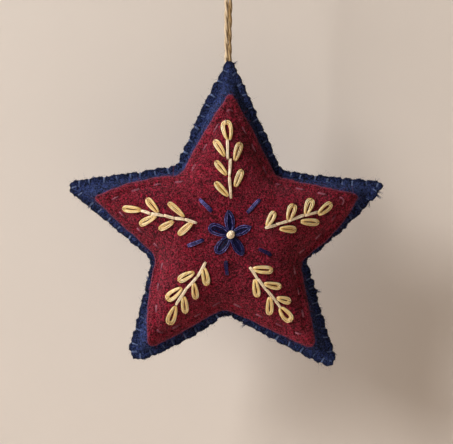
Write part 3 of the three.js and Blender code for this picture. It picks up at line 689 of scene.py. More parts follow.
class StarShape:
    """Where every face of the stuffed star lies, in mm from the star's centre"""

    def __init__(self, scene):
        felt, thread = scene.star_felt, scene.star_thread
        self.thickness = felt.thickness / MM
        self.puff = felt.puff / MM
        self.seed = felt.seed
        corners = corner_places(NAVY_TIPS, NAVY_NOTCHES)
        self.sharp = np.array([corner for corner, _ in corners])
        navy = rounded_outline(corners, NAVY_BOWS)
        maroon = rounded_outline(corner_places(MAROON_TIPS, MAROON_NOTCHES), MAROON_BOWS)
        self.navy = Edge(drawn_to_points(navy, NAVY_TIPS, NAVY_PEAKS))
        self.maroon = Edge(drawn_to_points(maroon, MAROON_TIPS, MAROON_PEAKS))
        self.deepest = self.reach(np.zeros((1, 2)))[0]
        self.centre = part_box("front_felt")[1].z / MM - TOP_POINT
        self.set_edge_stitches(thread.edge_pitch / MM, thread.edge_depth / MM)
        self.set_running_stitches(thread.running_pitch / MM, thread.running_inset / MM)
        self.set_ragged_edges()

    def set_edge_stitches(self, pitch, depth):
        """Where each edge stitch crosses the rim and where its needle hole is"""
        draw = np.random.default_rng(self.seed)
        count = round(self.navy.length / pitch)
        order = np.arange(count)
        wander = SPACING_WANDER_SHARE * np.sin(order * 2.4) * np.cos(order * 0.9)
        self.stitch_at = (order + 0.5 + wander) / count * self.navy.length
        rim, out = self.navy.place(self.stitch_at)
        lean = draw.uniform(-LEAN_SHARE, LEAN_SHARE, count)[:, None]
        inward = -out + lean * np.stack([out[:, 1], -out[:, 0]], 1)
        lengths = depth * draw.uniform(*LENGTH_SHARES, count)
        room = self.maroon.distance(rim) - MAROON_ROOM
        self.stitch_rim = rim
        self.stitch_out = out
        self.stitch_inner = rim + inward * np.minimum(lengths, room)[:, None]
        below = rim[:, 1] < self.navy.points[:, 1].max() - CORD_DEPTH
        self.stitch_clear = (np.abs(rim[:, 0]) > CORD_HALF_WIDTH) | below

    def set_running_stitches(self, pitch, inset):
        """The line that the running stitch follows, and the ends of each stitch along it"""
        side = self.maroon.distance(np.zeros((1, 2)))[0]
        self.channel = Edge(self.maroon.points * (1 - inset / side))
        draw = np.random.default_rng(self.seed + 1)
        count = round(self.channel.length / pitch)
        wander = draw.uniform(-DASH_WANDER_SHARE, DASH_WANDER_SHARE, count)
        self.dash_starts = (np.arange(count) + wander) / count * self.channel.length
        self.dash_ends = self.dash_starts + pitch * draw.uniform(*DASH_SHARES, count)

    def set_ragged_edges(self):
        """Outlines as the scissors and the thread left them"""
        points = self.navy.points
        rough = sum(wool(points, *lump) for lump in NAVY_CUT) + np.abs(wool(points, *NAVY_SNIPS))
        swell = rough + NAVY_SWELL - drawn_down(self.gap_along(self.navy.at[:-1]), EDGE_DRAW)
        self.navy_cut = points + self.navy.out * swell[:, None]
        points = self.maroon.points
        rough = sum(wool(points, *lump) for lump in MAROON_CUT)
        self.maroon_cut = points + self.maroon.out * rough[:, None]

    def gap_along(self, at):
        """Distance along the navy edge to the nearest stitch"""
        length = self.navy.length
        stitches = self.stitch_at[self.stitch_clear]
        gap = np.abs((at[:, None] - stitches[None] + length / 2) % length - length / 2)
        return gap.min(1)

    def reach(self, points):
        """How far each point lies from the sewn edge, as a smooth mean over all ten sides"""
        starts = self.sharp
        sides = np.roll(starts, -1, 0) - starts
        lengths = np.linalg.norm(sides, axis=1)
        along = sides / lengths[:, None]
        offset = points[:, None, :] - starts[None]
        aside = np.maximum(np.abs(along[:, 0] * offset[..., 1] - along[:, 1] * offset[..., 0]), 1e-6)
        first = -(offset * along).sum(2)
        last = first + lengths
        pull = (last / np.hypot(aside, last) - first / np.hypot(aside, first)) / aside ** 2
        return np.sqrt(2 / pull.sum(1))

    def rise(self, points, side=FRONT):
        """How far the wadding lifts a navy felt, and by the top point the cord's tail"""
        depth = np.clip((self.reach(points) - SEAM_WIDTH) / (self.deepest - SEAM_WIDTH), 0, 1)
        puff = self.puff * (1 - (1 - depth) ** PUFF_ROUNDNESS)
        near_cord = np.clip(1 - np.abs(points[:, 0]) / TAIL_ROOM_HALF_WIDTH, 0, 1)
        tail = TAIL_ROOM * near_cord * (points[:, 1] > 0)
        lumps = sum(wool(points, *lump) for lump in LUMPS[side]) * np.clip(depth * 6, 0, 1)
        return np.maximum(puff + lumps, tail)

    def pucker(self, points):
        """How far the edge thread pulls the felt down beside each stitch"""
        clear = self.stitch_clear
        gap = gap_to_lines(points, self.stitch_rim[clear], self.stitch_inner[clear])
        return drawn_down(gap, PUCKER)

    def navy_face(self, points, side=FRONT):
        base = self.rise(points, side) + FELT_GAP + self.thickness
        return base - self.pucker(points) + wool(points, *NAVY_NAP[side])

    def maroon_face(self, points):
        """Face of the maroon star, drawn down along the running stitch and at each of its ends"""
        base = FELT_GAP + 2 * self.thickness + LAYER_GAP
        ends = self.channel.place(np.concatenate([self.dash_starts, self.dash_ends]))[0]
        channel = drawn_down(self.channel.distance(points), CHANNEL)
        dimples = drawn_down(gap_to_points(points, ends), DIMPLE)
        return self.rise(points) + base - (channel + dimples) + wool(points, *MAROON_NAP)

    def at(self, points, depth):
        """Places in metres, in the frame, of points in the star's plane at a depth before it"""
        return np.stack([points[:, 0], -np.asarray(depth), points[:, 1] + self.centre], 1) * MM

    def spot(self, pixels):
        """The places in the star's plane that pixels of the straight-on view show on the maroon"""
        pixels = np.atleast_2d(np.asarray(pixels, float))
        away = (pixels - VIEW_CENTRE_PIXELS) * (PIXEL, -PIXEL)
        place = away + VIEW_CENTRE
        for _ in range(2):
            place = away * (1 - self.maroon_face(place) / VIEW_DISTANCE)[:, None] + VIEW_CENTRE
        return place


# Meshes


def new_object(name, places, faces, material):
    """An object at the origin with its place in its mesh"""
    mesh = bpy.data.meshes.new(name)
    mesh.from_pydata(places.tolist(), [], faces)
    mesh.validate()
    mesh.shade_smooth()
    piece = bpy.data.objects.new(name, mesh)
    bpy.context.scene.collection.objects.link(piece)
    mesh.materials.append(material)
    return piece


def settle(piece, body, node=None):
    """Tells the frame which body a piece rides on, and hides the imported node it stands for"""
    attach(piece, body)
    if node:
        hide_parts(node)


def add_values(piece, name, values):
    """A number for each vertex, which a material can read"""
    layer = piece.data.attributes.new(name, "FLOAT", "POINT")
    layer.data.foreach_set("value", values.astype(np.float32))


def lengths_along(path):
    """The length from the path's start to each of its places"""
    return np.concatenate([[0], np.cumsum(np.linalg.norm(np.diff(path, axis=0), axis=1))])


def unit(vectors):
    return vectors / np.linalg.norm(vectors, axis=1)[:, None]


def choose(piece):
    """Makes one object the selected and active one"""
    bpy.ops.object.select_all(action="DESELECT")
    piece.select_set(True)
    bpy.context.view_layer.objects.active = piece


def recalculate(piece):
    """Turns every face outwards"""
    choose(piece)
    bpy.ops.object.mode_set(mode="EDIT")
    bpy.ops.mesh.select_all(action="SELECT")
    bpy.ops.mesh.normals_make_consistent(inside=False)
    bpy.ops.object.mode_set(mode="OBJECT")


def shell(name, rings, material):
    """A closed skin from rings of equally many places, with a pole at each end"""
    size = len(rings[0])
    poles = [ring.mean(0, keepdims=True) for ring in (rings[0], rings[-1])]
    places = np.concatenate([poles[0], *rings, poles[1]])
    faces = []
    last = 1 + (len(rings) - 1) * size
    end = len(places) - 1
    for index in range(size):
        following = (index + 1) % size
        faces.append((0, 1 + following, 1 + index))
        faces.append((end, last + index, last + following))
    for ring in range(len(rings) - 1):
        near, far = 1 + ring * size, 1 + (ring + 1) * size
        for index in range(size):
            following = (index + 1) % size
            faces.append((near + index, near + following, far + following, far + index))
    piece = new_object(name, places, faces, material)
    recalculate(piece)
    return piece


# The way towards the viewer
FRONTWARD = np.array([0.0, -1.0, 0.0])


class Strands:
    """Collects round strands, and makes them one mesh with the strand's own UV and tone"""

    def __init__(self, sides):
        self.sides = sides
        self.places, self.faces, self.uvs, self.tones = [], [], [], []
        self.count = 0

    def add(self, path, radius, tone=0.5, taper=0.45):
        """A strand along a path of places in metres; taper is the share of its width at its ends"""
        path = np.asarray(path, float)
        along = np.gradient(path, axis=0)
        along /= np.linalg.norm(along, axis=1)[:, None] + 1e-12
        up = FRONTWARD if abs(along[0, 1]) < 0.9 else np.array([0.0, 0.0, 1.0])
        ups = np.empty_like(path)
        for index in range(len(path)):
            up = up - along[index] * (up @ along[index])
            up /= np.linalg.norm(up)
            ups[index] = up
        asides = np.cross(along, ups)
        widths = np.ones(len(path)) * radius
        widths[[0, -1]] *= taper
        turns = np.arange(self.sides) / self.sides * TURN
        round_it = (np.cos(turns)[None, :, None] * ups[:, None]
                    + np.sin(turns)[None, :, None] * asides[:, None])
        ring = path[:, None] + widths[:, None, None] * round_it
        self.add_faces(lengths_along(path))
        self.places.append(ring.reshape(-1, 3))
        self.tones.append(np.full(len(path) * self.sides, tone))
        self.count += len(path) * self.sides

    def add_faces(self, lengths):
        """The skin of a strand and its two ends, with the length and the share of the way round"""
        base, sides = self.count, self.sides
        for station in range(len(lengths) - 1):
            start, end = lengths[station], lengths[station + 1]
            a, b = base + station * sides, base + (station + 1) * sides
            for side in range(sides):
                following = (side + 1) % sides
                low, high = side / sides, (side + 1) / sides
                self.faces.append((a + side, a + following, b + following, b + side))
                self.uvs.extend([(start, low), (start, high), (end, high), (end, low)])
        last = base + (len(lengths) - 1) * sides
        for first, length, order in (
            (base, lengths[0], list(reversed(range(sides)))),
            (last, lengths[-1], list(range(sides))),
        ):
            self.faces.append(tuple(first + side for side in order))
            self.uvs.extend([(length, side / sides) for side in order])

    def piece(self, name, material):
        made = new_object(name, np.concatenate(self.places), self.faces, material)
        layer = made.data.uv_layers.new(name="strand")
        layer.data.foreach_set("uv", np.array(self.uvs, np.float32).ravel())
        add_values(made, "tone", np.concatenate(self.tones))
        recalculate(made)
        return made


def hairs(name, roots, directions, curls, lengths, radius, material):
    """Many fine curved fibres as one mesh of three-sided strands that grow thinner"""
    stations = np.linspace(0, 1, 5)
    count = len(roots)
    directions = unit(directions)
    spare = np.where(np.abs(directions[:, 1:2]) < 0.9, [[0.0, 1.0, 0.0]], [[1.0, 0.0, 0.0]])
    side = unit(np.cross(directions, spare))
    other = np.cross(directions, side)
    places = np.empty((count, len(stations), 3, 3))
    for index, share in enumerate(stations):
        centre = roots + lengths[:, None] * (share * directions + share ** 2 * curls)
        width = radius * (1 - 0.65 * share)
        for corner in range(3):
            angle = TURN * corner / 3
            spoke = math.cos(angle) * side + math.sin(angle) * other
            places[:, index, corner] = centre + width * spoke
    quads = []
    for station in range(len(stations) - 1):
        a, b = station * 3, (station + 1) * 3
        for corner in range(3):
            following = (corner + 1) % 3
            quads.append((a + corner, a + following, b + following, b + corner))
    size = len(stations) * 3
    bases = np.arange(count) * size
    faces = (np.array(quads)[None] + bases[:, None, None]).reshape(-1, 4).tolist()
    last = size - 3
    for base in bases.tolist():
        faces.append((base + 2, base + 1, base))
        faces.append((base + last, base + last + 1, base + last + 2))
    piece = new_object(name, places.reshape(-1, 3), faces, material)
    recalculate(piece)
    return piece


# Stage and camera

# Sides of the wall and the floor in metres, and how far the floor lies under the view's middle
ROOM_SIZE = 3.0
FLOOR_DROP = 0.32

# How the paint grows paler away from the key lamp, a painted light that makes up for the lamp's
# falloff: per metre to the right and down, and the share of its colour on the near and on the far side
WALL_SLOPE = (3.4, 1.2)
WALL_SHADES = (0.95, 1.3)

# Lamps: place from the view's middle in metres, share of the key's power, size and colour
LAMPS = {
    "key": ((-0.64, -0.325, 0.43), 1, 0.4, (1.0, 0.985, 0.96)),
    "far_fill": ((0.3, -0.7, -0.1), 0.006, 0.6, (1.0, 0.92, 0.84)),
    "back": ((-0.3, 0.75, 0.45), 0.6, 0.6, (1.0, 0.98, 0.96)),
}
ROOM_GLOW = (1.0, 0.79, 0.57, 1.0)


class FELTSTAR_OT_stage(bpy.types.Operator):
    """Wall, floor, soft light and the straight-on camera"""

    bl_idname = "feltstar.stage"
    bl_label = "Stage"

    def execute(self, context):
        stage, shape = context.scene.star_stage, StarShape(context.scene)
        centre = Vector((VIEW_CENTRE[0], 0, shape.centre + VIEW_CENTRE[1])) * MM
        self.add_camera(context, centre)
        self.add_room(stage, centre)
        self.add_lights(context, stage, centre)
        context.scene.view_settings.view_transform = "Standard"
        return {"FINISHED"}

    def add_camera(self, context, centre):
        place = centre - Vector((0, VIEW_DISTANCE * MM, 0))
        bpy.ops.object.camera_add(location=place, rotation=(math.pi / 2, 0, 0))
        camera = context.object
        camera.name = "camera"
        camera.data.sensor_width = SENSOR
        camera.data.lens = SENSOR * VIEW_DISTANCE / (VIEW_WIDTH_PIXELS * PIXEL)
        context.scene.camera = camera

    def add_room(self, stage, centre):
        for name, place, turn in (
            ("wall", (0, stage.wall_gap, centre.z), (math.pi / 2, 0, 0)),
            ("floor", (0, 0, centre.z - FLOOR_DROP), (0, 0, 0)),
        ):
            bpy.ops.object.select_all(action="DESELECT")
            bpy.ops.mesh.primitive_plane_add(size=ROOM_SIZE, location=place, rotation=turn)
            plane = bpy.context.object
            plane.name = name
            bpy.ops.object.transform_apply(location=True, rotation=True, scale=True)
            plane.data.materials.append(self.wall_finish(name + "_paint", stage.wall, centre))

    def wall_finish(self, name, colour, centre):
        """Paint that is paler to the lower right, a painted light against the lamp's falloff, and lets light
        and views in from behind
        """
        finish = Finish(name)
        place = finish.place()
        parts = finish.make("ShaderNodeSeparateXYZ", Vector=place)
        rightward = (parts.out("X") - centre.x) * WALL_SLOPE[0]
        slope = rightward - (parts.out("Z") - centre.z) * WALL_SLOPE[1] + 0.5
        patch = finish.noise(place, 9.0, 2.0)
        near, far = (shade(colour, share) for share in WALL_SHADES)
        base = finish.mix((slope + (patch - 0.5) * 0.1).smooth(-0.2, 1.2), near, far)
        paint = finish.make("ShaderNodeBsdfDiffuse", Color=base).out("BSDF")
        clear = finish.make("ShaderNodeBsdfTransparent").out("BSDF")
        behind = finish.make("ShaderNodeNewGeometry").out("Backfacing")
        shadow = finish.make("ShaderNodeLightPath").out("Is Shadow Ray")
        sockets = {"in0": behind.maths("MAXIMUM", shadow), "in1": paint, "in2": clear}
        mixed = finish.make("ShaderNodeMixShader", **sockets)
        finish.make("ShaderNodeOutputMaterial", Surface=mixed.out("Shader"))
        return finish.material

    def add_lights(self, context, stage, centre):
        for name, (offset, share, size, colour) in LAMPS.items():
            place = centre + Vector(offset)
            bpy.ops.object.select_all(action="DESELECT")
            bpy.ops.object.light_add(type="AREA", location=place)
            lamp = context.object
            lamp.name = name
            lamp.rotation_mode = "QUATERNION"
            lamp.rotation_quaternion = (centre - place).to_track_quat("-Z", "Y")
            lamp.data.energy = stage.key * share
            lamp.data.size = size
            lamp.data.color = colour
        world = bpy.data.worlds.new("room")
        context.scene.world = world
        world.use_nodes = True
        background = world.node_tree.nodes["Background"]
        background.inputs["Color"].default_value = ROOM_GLOW
        background.inputs["Strength"].default_value = stage.fill


# Cord

# Heights in mm over the middle of the peg: the ends of the knot, and the legs' top inside it
KNOT_TOP, KNOT_BOTTOM = -14.4, -19.0
LEG_TOP = -18.6

# The legs, in mm: half the distance between them, how far they swing to the left on their way,
# and how deep they reach into the star
LEG_OFFSET = 0.6
LEAN = 0.38
LEG_INTO_STAR = 1.0

# The eye, in mm: the radius of its top, the height of its sides, half the distance between its
# feet, and how deep they reach into the knot
EYE_RADIUS = 3.975
EYE_DROP = 14.0
EYE_FOOT = 0.66
EYE_INTO_KNOT = 1.1

# The two sides of the doubled cord: sign of X, where its twist starts, its tone and its hairs' seed.
# The left side's higher tone is painted light, paler on the side the lamp lights.
CORD_SIDES = {"left": (-1, 0.4, 0.6, 19), "right": (1, 2.2, 0.0, 21)}

# The knot, in mm: half the distance between the strands inside it and their two ends, the first
# and last height of the turns round them, the reach of each, its slant and the number of turns
KNOT_STRAND_OFFSET = 0.48
KNOT_STRAND_HEIGHTS = (KNOT_BOTTOM + 0.2, KNOT_TOP - EYE_INTO_KNOT - 0.1)
COIL_HEIGHTS = (-18.1, -15.3)
COIL_REACHES = (1.36, 1.3)
COIL_SLANT = 0.35
COIL_TURNS = 1.35

# The tail between the felts, in mm: half the distance between its legs, their radius, and the
# stopper knot's height over the end, radius, half height, turns and cord radius
TAIL_OFFSET = 0.45
TAIL_RADIUS = 0.46
STOPPER_HEIGHT = 1.5
STOPPER_RADIUS = 0.85
STOPPER_HALF_HEIGHT = 0.7
STOPPER_TURNS = 2.2
STOPPER_CORD_RADIUS = 0.5

# A twisted cord: the distance between its places in mm, how far a ply lies off the middle and the
# ply's own radius as shares of the cord's, and how uneven a ply is
TWIST_STEP = 0.3
PLY_OFFSET_SHARE = 0.36
PLY_RADIUS_SHARE = 0.66
PLY_WOBBLE_SHARE = 0.1


def run(x, y, z):
    """Places in metres from coordinates in mm, of which some may be the same all along"""
    return np.stack(np.broadcast_arrays(x, y, z), 1) * MM


def twisted(strands, centreline, radius, lay, phase=0.0, flat=1.0, tone=0.3):
    """Two plies that turn round each other along a centreline in metres"""
    line = np.asarray(centreline, float)
    lengths = lengths_along(line)
    count = max(8, int(lengths[-1] / (TWIST_STEP * MM)))
    at = np.linspace(0, lengths[-1], count)
    line = np.stack([np.interp(at, lengths, line[:, axis]) for axis in range(3)], 1)
    for _ in range(6):
        line[1:-1] = (line[:-2] + line[1:-1] * 2 + line[2:]) / 4
    along = unit(np.gradient(line, axis=0))
    side = unit(np.cross(along, FRONTWARD))
    up = np.cross(side, along)
    offset, ply = radius * PLY_OFFSET_SHARE, radius * PLY_RADIUS_SHARE
    for index in (0, 1):
        angle = at / lay * TURN + phase + index * math.pi
        wobble = 1 + PLY_WOBBLE_SHARE * np.sin(at / (2.1 * lay) * TURN + index + phase)
        spoke = np.cos(angle)[:, None] * side + flat * np.sin(angle)[:, None] * up
        strands.add(line + offset * spoke, ply * wobble, tone + 0.15 * index, taper=0.75)
    return line


def cord_hairs(name, line, radius, count, seed, material):
    """Loose ends of jute that stand off a cord"""
    draw = np.random.default_rng(seed)
    pick = draw.integers(1, len(line) - 1, count)
    along = unit(line[pick + 1] - line[pick - 1])
    out = draw.normal(size=(count, 3))
    out = unit(out - along * (out * along).sum(1)[:, None])
    roots = line[pick] + out * radius * 0.7
    outward = out * draw.uniform(0.15, 0.7, (count, 1))
    onward = along * draw.choice([-1, 1], (count, 1))
    curls = draw.normal(size=(count, 3)) * 0.35
    lengths = draw.uniform(0.8, 2.6, count) * MM
    return hairs(name, roots, outward + onward, curls, lengths, 0.03 * MM, material)


class FELTSTAR_OT_cord(bpy.types.Operator):
    """The doubled twine from the knot to the star, and its tail between the felts"""

    bl_idname = "feltstar.cord"
    bl_label = "Twine legs and tail"

    def execute(self, context):
        cord = context.scene.star_cord
        jute = jute_finish("jute", cord.jute)
        radius = cord.diameter / 2
        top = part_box("front_felt")[1].z / MM - LEG_INTO_STAR
        share = np.linspace(0, 1, 24)
        for name, (sign, phase, tone, seed) in CORD_SIDES.items():
            wander = 0.05 * np.sin(share * 7 + sign) - 0.1 * share ** 6
            spread = sign * (LEG_OFFSET + wander) - LEAN * np.sin(share * 1.6)
            line = run(spread, 0.06 * np.sin(share * 9), np.linspace(LEG_TOP, top, 24))
            strands = Strands(10)
            path = twisted(strands, line, radius, cord.lay, phase=phase, tone=tone)
            piece = strands.piece(f"cord_{name}_leg_twine", jute)
            hair = cord_hairs(f"cord_{name}_leg_hairs", path, radius, 46, seed, jute)
            settle(piece, "star", f"cord_leg_{name}")
            settle(hair, "star")
        self.add_tail(cord, jute)
        return {"FINISHED"}

    def add_tail(self, cord, jute):
        """Two flattened legs side by side, and a stopper knot wound from them"""
        low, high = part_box("cord_tail")
        strands = Strands(8)
        middle = low.z / MM + STOPPER_HEIGHT
        for sign in (-1, 1):
            line = run(sign * TAIL_OFFSET, 0, np.linspace(high.z / MM, middle, 16))
            twisted(strands, line, TAIL_RADIUS * MM, cord.lay, phase=sign, flat=0.8)
        turns = np.linspace(0, STOPPER_TURNS * TURN, 50)
        rise = np.linspace(-STOPPER_HALF_HEIGHT, STOPPER_HALF_HEIGHT, 50) + middle
        coil = run(np.cos(turns) * STOPPER_RADIUS, np.sin(turns) * STOPPER_RADIUS, rise)
        strands.add(coil, STOPPER_CORD_RADIUS * MM, 0.5)
        settle(strands.piece("cord_tail_twine", jute), "star", "cord_tail")


class FELTSTAR_OT_hanger(bpy.types.Operator):
    """The knot over the two legs, and the eye that hangs over the peg"""

    bl_idname = "feltstar.hanger"
    bl_label = "Knot and eye"

    def execute(self, context):
        cord = context.scene.star_cord
        jute = bpy.data.materials["jute"]
        self.add_knot(cord, jute)
        self.add_eye(cord, jute)
        return {"FINISHED"}

    def add_knot(self, cord, jute):
        """Two strands side by side, and two turns of cord that start on either side of them"""
        strands = Strands(10)
        radius = cord.diameter / 2
        heights = np.linspace(*KNOT_STRAND_HEIGHTS, 14)
        for sign, phase, _, _ in CORD_SIDES.values():
            line = run(sign * KNOT_STRAND_OFFSET, 0, heights)
            twisted(strands, line, radius * 0.92, cord.lay, phase=phase)
        turns = np.linspace(0, COIL_TURNS * TURN, 60)
        height = np.linspace(*COIL_HEIGHTS, 60) + COIL_SLANT * np.sin(turns)
        for start, reach in zip((0.0, math.pi), COIL_REACHES):
            coil = run(np.cos(turns + start) * reach, np.sin(turns + start) * reach, height)
            twisted(strands, coil, radius * 0.98, cord.lay, phase=start)
        settle(strands.piece("hanger_knot_twine", jute), "knot", "hanger_knot")

    def add_eye(self, cord, jute):
        """A loop with a round top, whose sides draw together and run side by side into the knot"""
        share = np.linspace(1, 0, 20)
        spread = EYE_FOOT + (EYE_RADIUS - EYE_FOOT) * (0.5 + 0.5 * np.cos(math.pi * share))
        foot = run(-EYE_FOOT, 0, np.linspace(KNOT_TOP - EYE_INTO_KNOT, -EYE_DROP, 6)[:-1])
        left = np.concatenate([foot, run(-spread, 0, -EYE_DROP * share)])
        angles = np.linspace(math.pi, 0, 26)[1:-1]
        bend = run(EYE_RADIUS * np.cos(angles), 0, EYE_RADIUS * np.sin(angles))
        line = np.concatenate([left, bend, left[::-1] * (-1, 1, 1)])
        strands = Strands(10)
        path = twisted(strands, line, cord.diameter / 2, cord.lay, phase=0.9)
        piece = strands.piece("hanger_eye_twine", jute)
        hair = cord_hairs("hanger_eye_hairs", path, cord.diameter / 2, 60, 31, jute)
        for made in (piece, hair):
            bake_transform(made)
        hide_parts("hanger_eye")


# Felt

# Rings round the cut edge of a felt, how far inside the cut the rounding starts, and how far in
# from it the rim colour reaches, in mm: painted shade on the navy, partly a painted highlight on the maroon
RIM_STEPS = 8
NAVY_RIM_INSET, NAVY_RIM_WIDTH = 0.5, 0.75
MAROON_RIM_INSET, MAROON_RIM_WIDTH = 0.35, 0.3

# Where on the way from the centre to the rim the navy rings pass under the maroon edge
UNDER_MAROON_SHARE = 0.6

# The pad: the share of the way to the maroon edge that it reaches, and how far its face stays
# under the lift of the felt in mm
PAD_REACH_SHARE = 0.84
PAD_CLEARANCE = 0.35


def felt_rings(cut, inner, face, back, shares, back_shares):
    """Rings of a felt layer: over its face, round its cut rim and under its back. face and back
    give the depth of a place; inner gives the ring at a share of the way out to the cut."""
    rings = []
    for share in shares:
        ring = inner(share)
        rings.append((ring, face(ring)))
    edge = inner(1)
    edge_face, edge_back = face(edge), back(edge)
    for step in range(1, RIM_STEPS):
        angle = math.pi * step / RIM_STEPS
        ring = edge + (cut - edge) * math.sin(angle)
        depth = (edge_face + edge_back) / 2 + (edge_face - edge_back) / 2 * math.cos(angle)
        rings.append((ring, depth))
    for share in back_shares:
        ring = inner(share)
        rings.append((ring, back(ring)))
    return rings


def mark_rim(piece, rings, cut, width):
    """Tells the wool how near each place is to the cut edge: 1 at the cut, 0 well inside"""
    points = np.concatenate([ring for ring, _ in rings])
    near = np.exp(-(gap_to_points(points, cut) / width) ** 2)
    add_values(piece, "rim", np.concatenate([[0.0], near, [0.0]]))


def declare_sheet(edge):
    """Works out the area of a felt as it was cut, and keeps nothing"""
    edge.area() * MM ** 2


class FELTSTAR_OT_felts(bpy.types.Operator):
    """The two navy stars, puffed out by the wadding and drawn in at every stitch"""

    bl_idname = "feltstar.felts"
    bl_label = "Navy felts"

    def execute(self, context):
        felt, shape = context.scene.star_felt, StarShape(context.scene)
        dark = tinted(felt.navy, (0.004, 0.009, 0.02), 0.7)
        light = tinted(felt.navy, (0.042, 0.066, 0.24), 0.4)
        # rim is a near-black navy over the cut edge, painted shade where the edge turns away
        fibre, rim = (0.055, 0.085, 0.24), (0.0025, 0.0035, 0.011)
        navy = felt_finish("navy_wool", felt.navy, dark, light, fibre, rim)
        inset = shape.navy_cut - shape.navy.out * NAVY_RIM_INSET
        base = shape.maroon.points

        def ring_at(share):
            if share <= UNDER_MAROON_SHARE:
                return base * (share / UNDER_MAROON_SHARE)
            further = (share - UNDER_MAROON_SHARE) / (1 - UNDER_MAROON_SHARE)
            return base + (inset - base) * further

        front_shares = [*np.linspace(0.06, 0.56, 9), *np.linspace(0.6, 1, 18)]
        back_shares = [*np.linspace(0.02, 0.6, 34), *np.linspace(0.62, 1, 17)]
        inner_shares = [1.0, 0.9, 0.75, 0.6, 0.4, 0.2, 0.06]
        for node, side, shares in (
            ("front_felt", FRONT, front_shares),
            ("back_felt", BACK, back_shares),
        ):
            found = felt_rings(
                shape.navy_cut, ring_at, lambda points: shape.navy_face(points, side),
                lambda points: shape.rise(points, side) + FELT_GAP, shares, inner_shares)
            rings = [shape.at(ring, depth * side) for ring, depth in found]
            piece = shell(f"{node}_cloth", rings, navy)
            mark_rim(piece, found, shape.navy_cut, NAVY_RIM_WIDTH)
            settle(piece, "star", node)
            declare_sheet(shape.navy)
        return {"FINISHED"}


class FELTSTAR_OT_wadding(bpy.types.Operator):
    """The pad of combed fibre between the felts"""

    bl_idname = "feltstar.wadding"
    bl_label = "Wadding"

    def execute(self, context):
        shape = StarShape(context.scene)
        outline = shape.maroon.points[::3]
        outward = np.linspace(0.04, 1, 24)
        rings = []
        for side, shares in ((FRONT, outward), (BACK, outward[::-1])):
            for share in shares:
                ring = outline * PAD_REACH_SHARE * share
                thin = math.sqrt(max(0.0, 1 - share ** 8))
                face = shape.rise(ring, side) - PAD_CLEARANCE + wool(ring, *WADDING_NAP[side])
                rings.append(shape.at(ring, face * (0.25 + 0.75 * thin) * side))
        piece = shell("wadding_pad", rings, wadding_finish("combed_fibre"))
        settle(piece, "star", "wadding")
        return {"FINISHED"}


class FELTSTAR_OT_applique(bpy.types.Operator):
    """The maroon star on the face"""

    bl_idname = "feltstar.applique"
    bl_label = "Maroon star"

    def execute(self, context):
        felt, shape = context.scene.star_felt, StarShape(context.scene)
        dark = tinted(felt.maroon, (0.02, 0.003, 0.01), 0.7)
        light = tinted(felt.maroon, (0.36, 0.015, 0.046), 0.5)
        # rim is a paler pink over the cut edge: partly the fuzz of the cut, partly a painted highlight
        fibre, rim = (0.34, 0.042, 0.068), (0.21, 0.06, 0.115)
        maroon = felt_finish("maroon_wool", felt.maroon, dark, light, fibre, rim)
        inset = shape.maroon_cut - shape.maroon.out * MAROON_RIM_INSET
        under = FELT_GAP + shape.thickness + LAYER_GAP
        shares = [*np.linspace(0.02, 0.7, 22), *np.linspace(0.72, 1, 20)]
        found = felt_rings(
            shape.maroon_cut, lambda share: inset * share, shape.maroon_face,
            lambda points: shape.rise(points) + under, shares, [1.0, 0.9, 0.75, 0.5, 0.25, 0.06])
        piece = shell("applique_cloth", [shape.at(ring, depth) for ring, depth in found], maroon)
        mark_rim(piece, found, shape.maroon_cut, MAROON_RIM_WIDTH)
        settle(piece, "star", "applique")
        declare_sheet(shape.maroon)
        return {"FINISHED"}


# Radius in mm of a fine fibre on a face and of one along an edge
FINE_FIBRE, EDGE_FIBRE = 0.022, 0.024

# Loose fibres. Along a cut edge: colour, the depths that it spans in mm, the share of all fibres
# and the seed. On a face: colour, side, the share of the maroon star that it covers, the share of
# all fibres, the seed and the radius in mm.
EDGE_FIBRES = {
    "navy_edge_fibres": ("navy", (-1.25, 1.25), 0.34, 50),
    "maroon_edge_fibres": ("maroon", (1.8, 2.9), 0.2, 51),
}
FACE_FIBRES = {
    "navy_back_fibres": ("navy", BACK, 1.06, 0.16, 52, FINE_FIBRE),
    "maroon_face_fibres": ("maroon", FRONT, 0.97, 0.26, 53, FINE_FIBRE),
    "maroon_coarse_fibres": ("maroon", FRONT, 0.97, 0.05, 54, 0.05),
}

# Wisps of the navy edge: how many, the fibres in each, the seed, the scatter and radius in mm
TUFTS, TUFT_FIBRES, TUFT_SEED = 26, 22, 55
TUFT_SCATTER = 0.16
TUFT_FIBRE = 0.045


def in_plane(across, up, backward=0.0):
    """Directions in the frame from their parts in the star's plane and towards its back"""
    return np.stack(np.broadcast_arrays(across, backward, up), 1)


